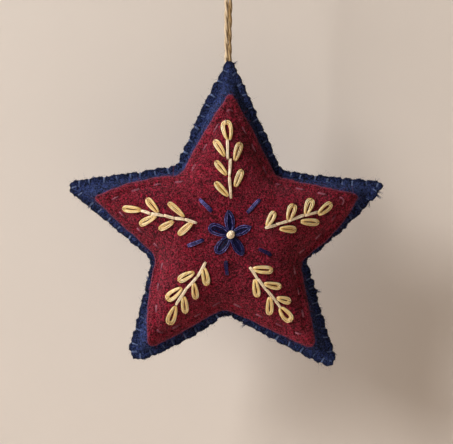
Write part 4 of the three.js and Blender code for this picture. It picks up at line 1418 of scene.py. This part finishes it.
class FELTSTAR_OT_fibres(bpy.types.Operator):
    """Loose wool fibres on the faces and along the cut edges"""

    bl_idname = "feltstar.fibres"
    bl_label = "Loose fibres"

    def execute(self, context):
        felt, shape = context.scene.star_felt, StarShape(context.scene)
        navy = tinted(felt.navy, (0.01, 0.015, 0.04), 0.5)
        self.finishes = {
            "navy": fibre_finish("navy_fibre", navy, (0.08, 0.11, 0.26)),
            "maroon": fibre_finish("maroon_fibre", felt.maroon, (0.33, 0.06, 0.095)),
        }
        for name, (colour, depths, share, seed) in EDGE_FIBRES.items():
            self.add_edge(shape, name, colour, depths, int(felt.fibres * share), seed)
        for name, (colour, side, reach, share, seed, radius) in FACE_FIBRES.items():
            self.add_face(shape, name, colour, side, reach, int(felt.fibres * share), seed, radius)
        self.add_tufts(shape)
        return {"FINISHED"}

    def grow(self, name, colour, roots, directions, curls, lengths, radius):
        piece = hairs(name, roots, directions, curls, lengths * MM, radius * MM, self.finishes[colour])
        settle(piece, "star")

    def add_edge(self, shape, name, colour, depths, count, seed):
        """Fibres that stand out from a cut edge and lie along it"""
        maroon = colour == "maroon"
        cut, edge = (shape.maroon_cut, shape.maroon) if maroon else (shape.navy_cut, shape.navy)
        draw = np.random.default_rng(seed)
        pick = draw.integers(0, len(cut), count)
        out = edge.out[pick]
        points = cut[pick] - out * 0.12
        depth = draw.uniform(*depths, count) + (shape.rise(points) if maroon else 0)
        outward = in_plane(out[:, 0], out[:, 1])
        along = in_plane(out[:, 1], -out[:, 0]) * draw.choice([-1, 1], (count, 1))
        mix = draw.uniform(0.1, 1.0, (count, 1))
        directions = outward * mix + along * (1.15 - mix) + draw.normal(size=(count, 3)) * 0.25
        curls = draw.normal(size=(count, 3)) * 0.5 - outward * 0.25
        lengths = draw.gamma(3.0, 0.24, count).clip(0.25, 2.2)
        self.grow(name, colour, shape.at(points, depth), directions, curls, lengths, EDGE_FIBRE)

    def add_tufts(self, shape):
        """Small wisps pulled out of the navy edge by handling"""
        draw = np.random.default_rng(TUFT_SEED)
        pick = np.repeat(draw.integers(0, len(shape.navy_cut), TUFTS), TUFT_FIBRES)
        count = len(pick)
        out = shape.navy.out[pick]
        points = shape.navy_cut[pick] - out * 0.15 + draw.normal(size=(count, 2)) * TUFT_SCATTER
        roots = shape.at(points, draw.uniform(-0.9, 0.9, count))
        lean = np.repeat(draw.normal(size=(TUFTS, 3)) * 0.7, TUFT_FIBRES, axis=0)
        outward = in_plane(out[:, 0], out[:, 1])
        directions = outward + lean + draw.normal(size=(count, 3)) * 0.3
        curl = np.repeat(draw.normal(size=(TUFTS, 3)) * 0.5, TUFT_FIBRES, axis=0)
        curls = curl + draw.normal(size=(count, 3)) * 0.2
        lengths = draw.uniform(0.35, 1.0, count)
        self.grow("navy_tufts", "navy", roots, directions, curls, lengths, TUFT_FIBRE)

    def add_face(self, shape, name, colour, side, reach, count, seed, radius):
        """Fibres that lie flat on a face, with their ends curled up"""
        face = shape.maroon_face if colour == "maroon" else lambda points: shape.navy_face(points, side)
        draw = np.random.default_rng(seed)
        pick = draw.integers(0, len(shape.maroon.points), count)
        spread = reach * np.sqrt(draw.uniform(0, 1, (count, 1)))
        points = shape.maroon.points[pick] * spread
        roots = shape.at(points, (face(points) - 0.02) * side)
        angle = draw.uniform(0, TURN, count)
        directions = in_plane(np.cos(angle), np.sin(angle), -side * draw.uniform(0.12, 0.45, count))
        curls = draw.normal(size=(count, 3)) * 0.45 - FRONTWARD * (side * 0.35)
        lengths = draw.gamma(3.0, 0.3, count).clip(0.3, 2.6) * (radius / FINE_FIBRE) ** 0.5
        self.grow(name, colour, roots, directions, curls, lengths, radius)


# Seams

# Edge stitches, in mm: radius of a strand, where a leg turns round the rim as its distance from
# it, the share of the felts' thickness there and how far the thread stands off, and how deep
# it may sink into the wool
EDGE_STRAND = 0.14
RIM_TURN = 0.78
RIM_DEPTH_SHARE = 0.97
RIM_STAND_OFF = 0.42
EDGE_SINK = (-0.05, 0.16)

# A leg of an edge stitch: the shares of its way from the hole to the rim, and how far it lies over
# the felt there as shares of the strand's radius
LEG_SHARES = (0, 0.06, 0.16, 0.35, 0.6, 0.85)
LEG_LIFT_SHARES = (-0.55, 0.0, 0.55, 0.8, 0.8, 0.7)

# The thread in the seam: how far inside the cut it lies, its wave, and how near the cord it stops
RIM_THREAD_INSET = 0.22
RIM_THREAD_WAVE = 0.07
RIM_THREAD_CLEAR = (2.2, 2.4)

# Running stitch: radius of a strand in mm, and how deep it lies as shares of that radius
RUNNING_STRAND = 0.15
RUNNING_SINK_SHARES = (-0.1, 1.1)


class FELTSTAR_OT_edge_stitching(bpy.types.Operator):
    """Two-strand stitches over the navy edge, and the thread that joins them along the rim"""

    bl_idname = "feltstar.edge_stitching"
    bl_label = "Edge stitching"

    def execute(self, context):
        thread, shape = context.scene.star_thread, StarShape(context.scene)
        dark = tinted(thread.edge_blue, (0.02, 0.035, 0.1), 0.6)
        light = tinted(thread.edge_blue, (0.3, 0.38, 0.6), 0.5)
        blue = floss_finish("edge_thread", thread.edge_blue, dark, light, 0.15, 900.0)
        draw = np.random.default_rng(shape.seed + 60)
        strands = Strands(6)
        stitches = zip(shape.stitch_rim, shape.stitch_out, shape.stitch_inner, shape.stitch_clear)
        for rim, out, hole, clear in stitches:
            if not clear:
                continue
            along = np.array([out[1], -out[0]])
            sunk = draw.uniform(*EDGE_SINK)
            tone = draw.uniform(0, 1) ** 1.5
            for side in (-1, 1):
                shift = along * (side * EDGE_STRAND * 0.95 + draw.uniform(-0.05, 0.05))
                path = self.leg(shape, rim + shift, out, hole + shift, sunk)
                strands.add(path, EDGE_STRAND * draw.uniform(0.85, 1.15) * MM, tone, taper=0.7)
        self.add_rim_thread(shape, strands)
        piece = strands.piece("edge_stitching_thread", blue)
        settle(piece, "star", "edge_stitching")
        return {"FINISHED"}

    def leg(self, shape, rim, out, hole, sunk):
        """From a needle hole in the face, over the rim and into the hole behind"""
        turn = rim - out * RIM_TURN
        line = hole + (turn - hole) * np.array(LEG_SHARES)[:, None]
        lift = np.array(LEG_LIFT_SHARES) * EDGE_STRAND
        front = shape.navy_face(line) + lift - sunk
        behind = shape.navy_face(line, BACK) + lift - sunk
        turns = np.linspace(0.18, math.pi - 0.18, 9)
        edge = (front[-1] + behind[-1]) / 2 * RIM_DEPTH_SHARE
        swing = turn + out * (RIM_STAND_OFF + EDGE_STRAND * 0.55) * np.sin(turns)[:, None]
        depth = edge * np.cos(turns) + (front[-1] - behind[-1]) / 2
        return np.concatenate([
            shape.at(line, front), shape.at(swing, depth), shape.at(line[::-1], -behind[::-1])])

    def add_rim_thread(self, shape, strands):
        """The thread lies in the seam between the felts from one stitch to the next"""
        at = shape.navy.at[:-1]
        half_width, depth = RIM_THREAD_CLEAR
        top = shape.navy_cut[:, 1] > shape.navy.points[:, 1].max() - depth
        clear = ~(top & (np.abs(shape.navy_cut[:, 0]) < half_width))
        start = int(np.argmax(~np.roll(clear, 1) & clear))
        order = np.roll(np.arange(len(at)), -start)
        order = order[clear[order]][::2]
        line = shape.navy_cut[order] - shape.navy.out[order] * RIM_THREAD_INSET
        wave = RIM_THREAD_WAVE * np.sin(at[order] * 1.7)
        strands.add(shape.at(line, wave), EDGE_STRAND * 1.2 * MM, 0.2)


class FELTSTAR_OT_running_stitching(bpy.types.Operator):
    """The running stitch that holds the maroon star"""

    bl_idname = "feltstar.running_stitching"
    bl_label = "Running stitch"

    def execute(self, context):
        thread, shape = context.scene.star_thread, StarShape(context.scene)
        dark = tinted(thread.rose, (0.09, 0.012, 0.03), 0.6)
        light = tinted(thread.rose, (0.9, 0.45, 0.52), 0.5)
        rose = floss_finish("running_thread", thread.rose, dark, light, 0.1, 900.0)
        draw = np.random.default_rng(shape.seed + 70)
        strands = Strands(6)
        bow = 0.8 - 1.9 * np.abs(np.linspace(-1, 1, 13)) ** 8
        for start, end in zip(shape.dash_starts, shape.dash_ends):
            points, out = shape.channel.place(np.linspace(start, end, 13))
            lift = RUNNING_STRAND * (bow - draw.uniform(*RUNNING_SINK_SHARES))
            for side in (-1, 1):
                shift = side * RUNNING_STRAND * 0.9 + draw.uniform(-0.05, 0.05)
                line = points + out * shift
                path = shape.at(line, shape.maroon_face(line) + lift)
                strands.add(path, RUNNING_STRAND * MM, draw.uniform(0, 1))
        piece = strands.piece("applique_stitching_thread", rose)
        settle(piece, "star", "applique_stitching")
        return {"FINISHED"}


# Embroidery


def sew(shape, strands, line, lift, radius, tone):
    """A strand along a line in the star's plane, so far over the maroon felt"""
    strands.add(shape.at(line, shape.maroon_face(line) + lift), radius * MM, tone)


def ways(start, end):
    """Length from one needle hole to another, and the directions along and across the stitch"""
    length = np.linalg.norm(end - start)
    along = (end - start) / length
    return length, along, np.array([-along[1], along[0]])


def straight_stitch(shape, strands, draw, start, end, count, radius, crown=0.0, tone=1.0, spacing=1.75):
    """Strands side by side from one needle hole to another. crown lifts the middle, and spacing is
    the distance between two strands, both as shares of their radius."""
    _, along, across = ways(start, end)
    shares = np.linspace(0, 1, 12)
    from_middle = np.abs(2 * shares - 1)
    narrow = 1 - 0.45 * from_middle ** 4
    for strand in range(count):
        order = strand - (count - 1) / 2
        wave = 0.05 * np.sin(shares * draw.uniform(4, 7) + draw.uniform(0, TURN))
        slips = draw.uniform(-0.12, 0.12, 2)
        first, last = start + along * slips[0], end + along * slips[1]
        line = first + (last - first) * shares[:, None]
        line = line + across * (order * radius * spacing * narrow + wave)[:, None]
        middle = 1 - (abs(order) / max(1, count / 2)) ** 2
        lift = radius * (0.95 + crown + 0.55 * middle - (2.6 + crown) * from_middle ** 10)
        sew(shape, strands, line, lift, radius, draw.uniform(0.2, 1) * tone)


def loop_stitch(shape, strands, draw, base, tip, width, count, radius, foot=0.66, pointed=0.0, tones=None,
                blunt=0.68):
    """Nested loops of floss from the base round the tip and back, held at the tip by a small
    stitch. foot is the loop's share of its width at the base, pointed draws the tip in, a small
    blunt makes the sides full, and tones are those of the strands from the outermost in."""
    length, along, across = ways(base, tip)
    turn = np.linspace(0, TURN, 37)
    out = (1 - np.cos(turn)) / 2
    wide = np.sign(np.sin(turn)) * np.abs(np.sin(turn)) ** blunt * (foot + (1.16 - foot) * out)
    wide = wide * (1 - pointed * out ** 4)
    dive = np.exp(-(out * length / 0.5) ** 2)
    for strand in range(count):
        inset = radius + strand * radius * 1.9
        half = width / 2 - inset
        if half < radius * 0.4:
            break
        slip = draw.uniform(-0.06, 0.06)
        onward = out * (length - inset * 1.05) + strand * 0.1 * (1 - out)
        wave = 0.045 * np.sin(turn * 2 + draw.uniform(0, TURN))
        aside = wide * (half + slip * 0.6) + wave
        line = base + along * onward[:, None] + across * aside[:, None]
        crest = math.sin(math.pi * (strand + 0.8) / (count + 0.6))
        lift = radius * (1.0 + crest + 0.25 * strand * dive - 1.8 * dive)
        # The outer strand is lightest and each inner one darker: painted shade inside the loop, over a random
        # tone
        tone = draw.uniform(0.85, 1.0) if strand == 0 else draw.uniform(0.4, 1.0) / strand ** 0.5
        sew(shape, strands, line, lift, radius, tones[strand] if tones else tone)
    hold = tip - along * (radius * 2 * min(count, 2) + 0.1) + across * 0.03
    straight_stitch(shape, strands, draw, hold, tip + along * 0.12, 1, radius * 0.85, 1.5)


class FELTSTAR_OT_sprigs(bpy.types.Operator):
    """Five gold sprigs, each a stem of straight stitches with six leaf loops"""

    bl_idname = "feltstar.sprigs"
    bl_label = "Sprigs"

    def execute(self, context):
        thread, shape = context.scene.star_thread, StarShape(context.scene)
        # light is the cream of the paler streaks, partly a painted highlight; dark also gives the painted
        # shade of the twist and the flanks
        dark = tinted(thread.gold, (0.48, 0.15, 0.0), 0.75)
        light = tinted(thread.gold, (1.0, 0.9, 0.56), 0.95)
        gold = floss_finish("gold_floss", thread.gold, dark, light, 0.6, 1250.0, 0.9, 0.25)
        # The stem's light and dark work the same way: paler streaks partly a painted highlight, dark for the
        # painted shade
        pale = tinted(thread.gold, (1.0, 0.81, 0.59), 0.85)
        dark = tinted(pale, (0.6, 0.33, 0.13), 0.5)
        light = tinted(pale, (1.0, 0.95, 0.78), 0.8)
        cream = floss_finish("stem_floss", pale, dark, light, 0.6, 900.0, 0.5, 0.25)
        radius = thread.strand / 2 / MM
        for order, (node, layout) in enumerate(SPRIGS.items()):
            draw = np.random.default_rng(shape.seed + 80 + order)
            stem = Strands(6)
            for ends in layout["stem"]:
                straight_stitch(shape, stem, draw, *shape.spot(ends), 3, radius * 0.92, 0.4, 1.5)
            settle(stem.piece(f"{node}_stem_floss", cream), "star")
            leaves = Strands(6)
            for tip, base, width in layout["leaves"]:
                thick = radius * (width / 8) ** 0.5
                loop_stitch(shape, leaves, draw, *shape.spot([base, tip]), width * PIXEL, 3, thick)
            settle(leaves.piece(f"{node}_floss", gold), "star", node)
        return {"FINISHED"}


# Wraps of the french knot, in mm: reach from its middle, heights over the felt at the start and
# the end, number of turns, where the first turn starts, and radius of the strand
KNOT_WRAPS = (
    (1.02, 0.3, 0.5, 1.15, 0.3, 0.33),
    (0.8, 0.75, 1.0, 1.1, 2.0, 0.32),
    (0.34, 1.0, 1.35, 1.5, 4.0, 0.3),
)

# How far from the flower's middle a petal starts, in mm
PETAL_START = 0.7


class FELTSTAR_OT_flower(bpy.types.Operator):
    """Five blue petal loops, five rays and the french knot"""

    bl_idname = "feltstar.flower"
    bl_label = "Flower"

    def execute(self, context):
        thread, shape = context.scene.star_thread, StarShape(context.scene)
        dark = tinted(thread.blue, (0.001, 0.001, 0.008), 0.85)
        # light is a lavender for the paler streaks, a painted highlight on the dark blue floss
        light = tinted(thread.blue, (0.36, 0.34, 0.9), 0.7)
        blue = floss_finish("blue_floss", thread.blue, dark, light, 0.08, 900.0, 0.95, 0.7)
        radius = thread.strand / 2 / MM
        middle = shape.spot(FLOWER_PIXELS)[0]
        for index, (tip, width, pointed, tone) in enumerate(PETALS):
            draw = np.random.default_rng(shape.seed + 90 + index)
            strands = Strands(6)
            end = shape.spot(tip)[0]
            start = middle + ways(middle, end)[1] * PETAL_START
            # Painted light and shade: the petal's tone falls towards the lower right, and its strands are
            # light and dark in turn
            tones = [share * tone for share in PETAL_STRANDS]
            loop_stitch(shape, strands, draw, start, end, width * PIXEL, 4, radius * 0.85, 0.8, pointed,
                        tones, 0.8)
            # A filling stitch inside the loop, kept dark as painted shade
            end = end - (end - start) * 0.2
            straight_stitch(shape, strands, draw, start, end, 3, radius * 0.85, -0.5, 0.1)
            self.keep(strands, f"petal_{index + 1}", blue, "blue_floss")
        # Painted light and shade: the ray's tone falls towards the lower right
        for index, (near, far, tone) in enumerate(RAYS):
            draw = np.random.default_rng(shape.seed + 100 + index)
            strands = Strands(6)
            straight_stitch(shape, strands, draw, *shape.spot([near, far]), 3, radius, 0.2, tone, 2.3)
            self.keep(strands, f"ray_{index + 1}", blue, "blue_floss")
        self.add_knot(shape, middle)
        return {"FINISHED"}

    def keep(self, strands, node, finish, slot):
        settle(strands.piece(f"{node}_floss", finish), "star", node)

    def add_knot(self, shape, middle):
        """Wraps round the needle, drawn down in the middle, with the last one lying over the rest"""
        strands = Strands(8)
        face = float(shape.maroon_face(middle[None])[0])
        share = np.linspace(0, 1, 40)
        for reach, low, high, turns, start, radius in KNOT_WRAPS:
            angle = share * turns * TURN + start
            radial = reach * (1 - 0.1 * share + 0.09 * np.sin(2 * angle + start))
            line = middle + np.stack([np.cos(angle) * radial, np.sin(angle) * radial * 1.05], 1)
            depth = face + low + (high - low) * share + 0.12 * np.sin(angle * 2)
            strands.add(shape.at(line, depth), radius * MM, 0.6)
        self.keep(strands, "flower_knot", bpy.data.materials["stem_floss"], "gold_floss")


# Panel and registration

SETTINGS = {
    "star_felt": FeltSettings,
    "star_thread": ThreadSettings,
    "star_cord": CordSettings,
    "star_stage": StageSettings,
}
OPERATORS = [
    FELTSTAR_OT_stage,
    FELTSTAR_OT_cord,
    FELTSTAR_OT_hanger,
    FELTSTAR_OT_wadding,
    FELTSTAR_OT_felts,
    FELTSTAR_OT_applique,
    FELTSTAR_OT_fibres,
    FELTSTAR_OT_edge_stitching,
    FELTSTAR_OT_running_stitching,
    FELTSTAR_OT_sprigs,
    FELTSTAR_OT_flower,
]


class FELTSTAR_PT_panel(bpy.types.Panel):
    """The star's settings and pieces"""

    bl_idname = "FELTSTAR_PT_panel"
    bl_label = "Felt Star"
    bl_space_type = "VIEW_3D"
    bl_region_type = "UI"
    bl_category = "Felt Star"

    def draw(self, context):
        for name, group in SETTINGS.items():
            box = self.layout.box()
            for key in group.__annotations__:
                box.prop(getattr(context.scene, name), key)
        for operator in OPERATORS:
            self.layout.operator(operator.bl_idname)


CLASSES = [*SETTINGS.values(), *OPERATORS, FELTSTAR_PT_panel]


def register():
    for made in CLASSES:
        bpy.utils.register_class(made)
    for name, group in SETTINGS.items():
        setattr(bpy.types.Scene, name, PointerProperty(type=group))


def unregister():
    for name in SETTINGS:
        delattr(bpy.types.Scene, name)
    for made in reversed(CLASSES):
        bpy.utils.unregister_class(made)


def main():
    register()
    bpy.ops.feltstar.stage()
    bpy.ops.feltstar.cord()
    bpy.ops.feltstar.hanger()
    bpy.ops.feltstar.wadding()
    bpy.ops.feltstar.felts()
    bpy.ops.feltstar.applique()
    bpy.ops.feltstar.fibres()
    bpy.ops.feltstar.edge_stitching()
    bpy.ops.feltstar.running_stitching()
    bpy.ops.feltstar.sprigs()
    bpy.ops.feltstar.flower()


if __name__ == "__main__":
    main()
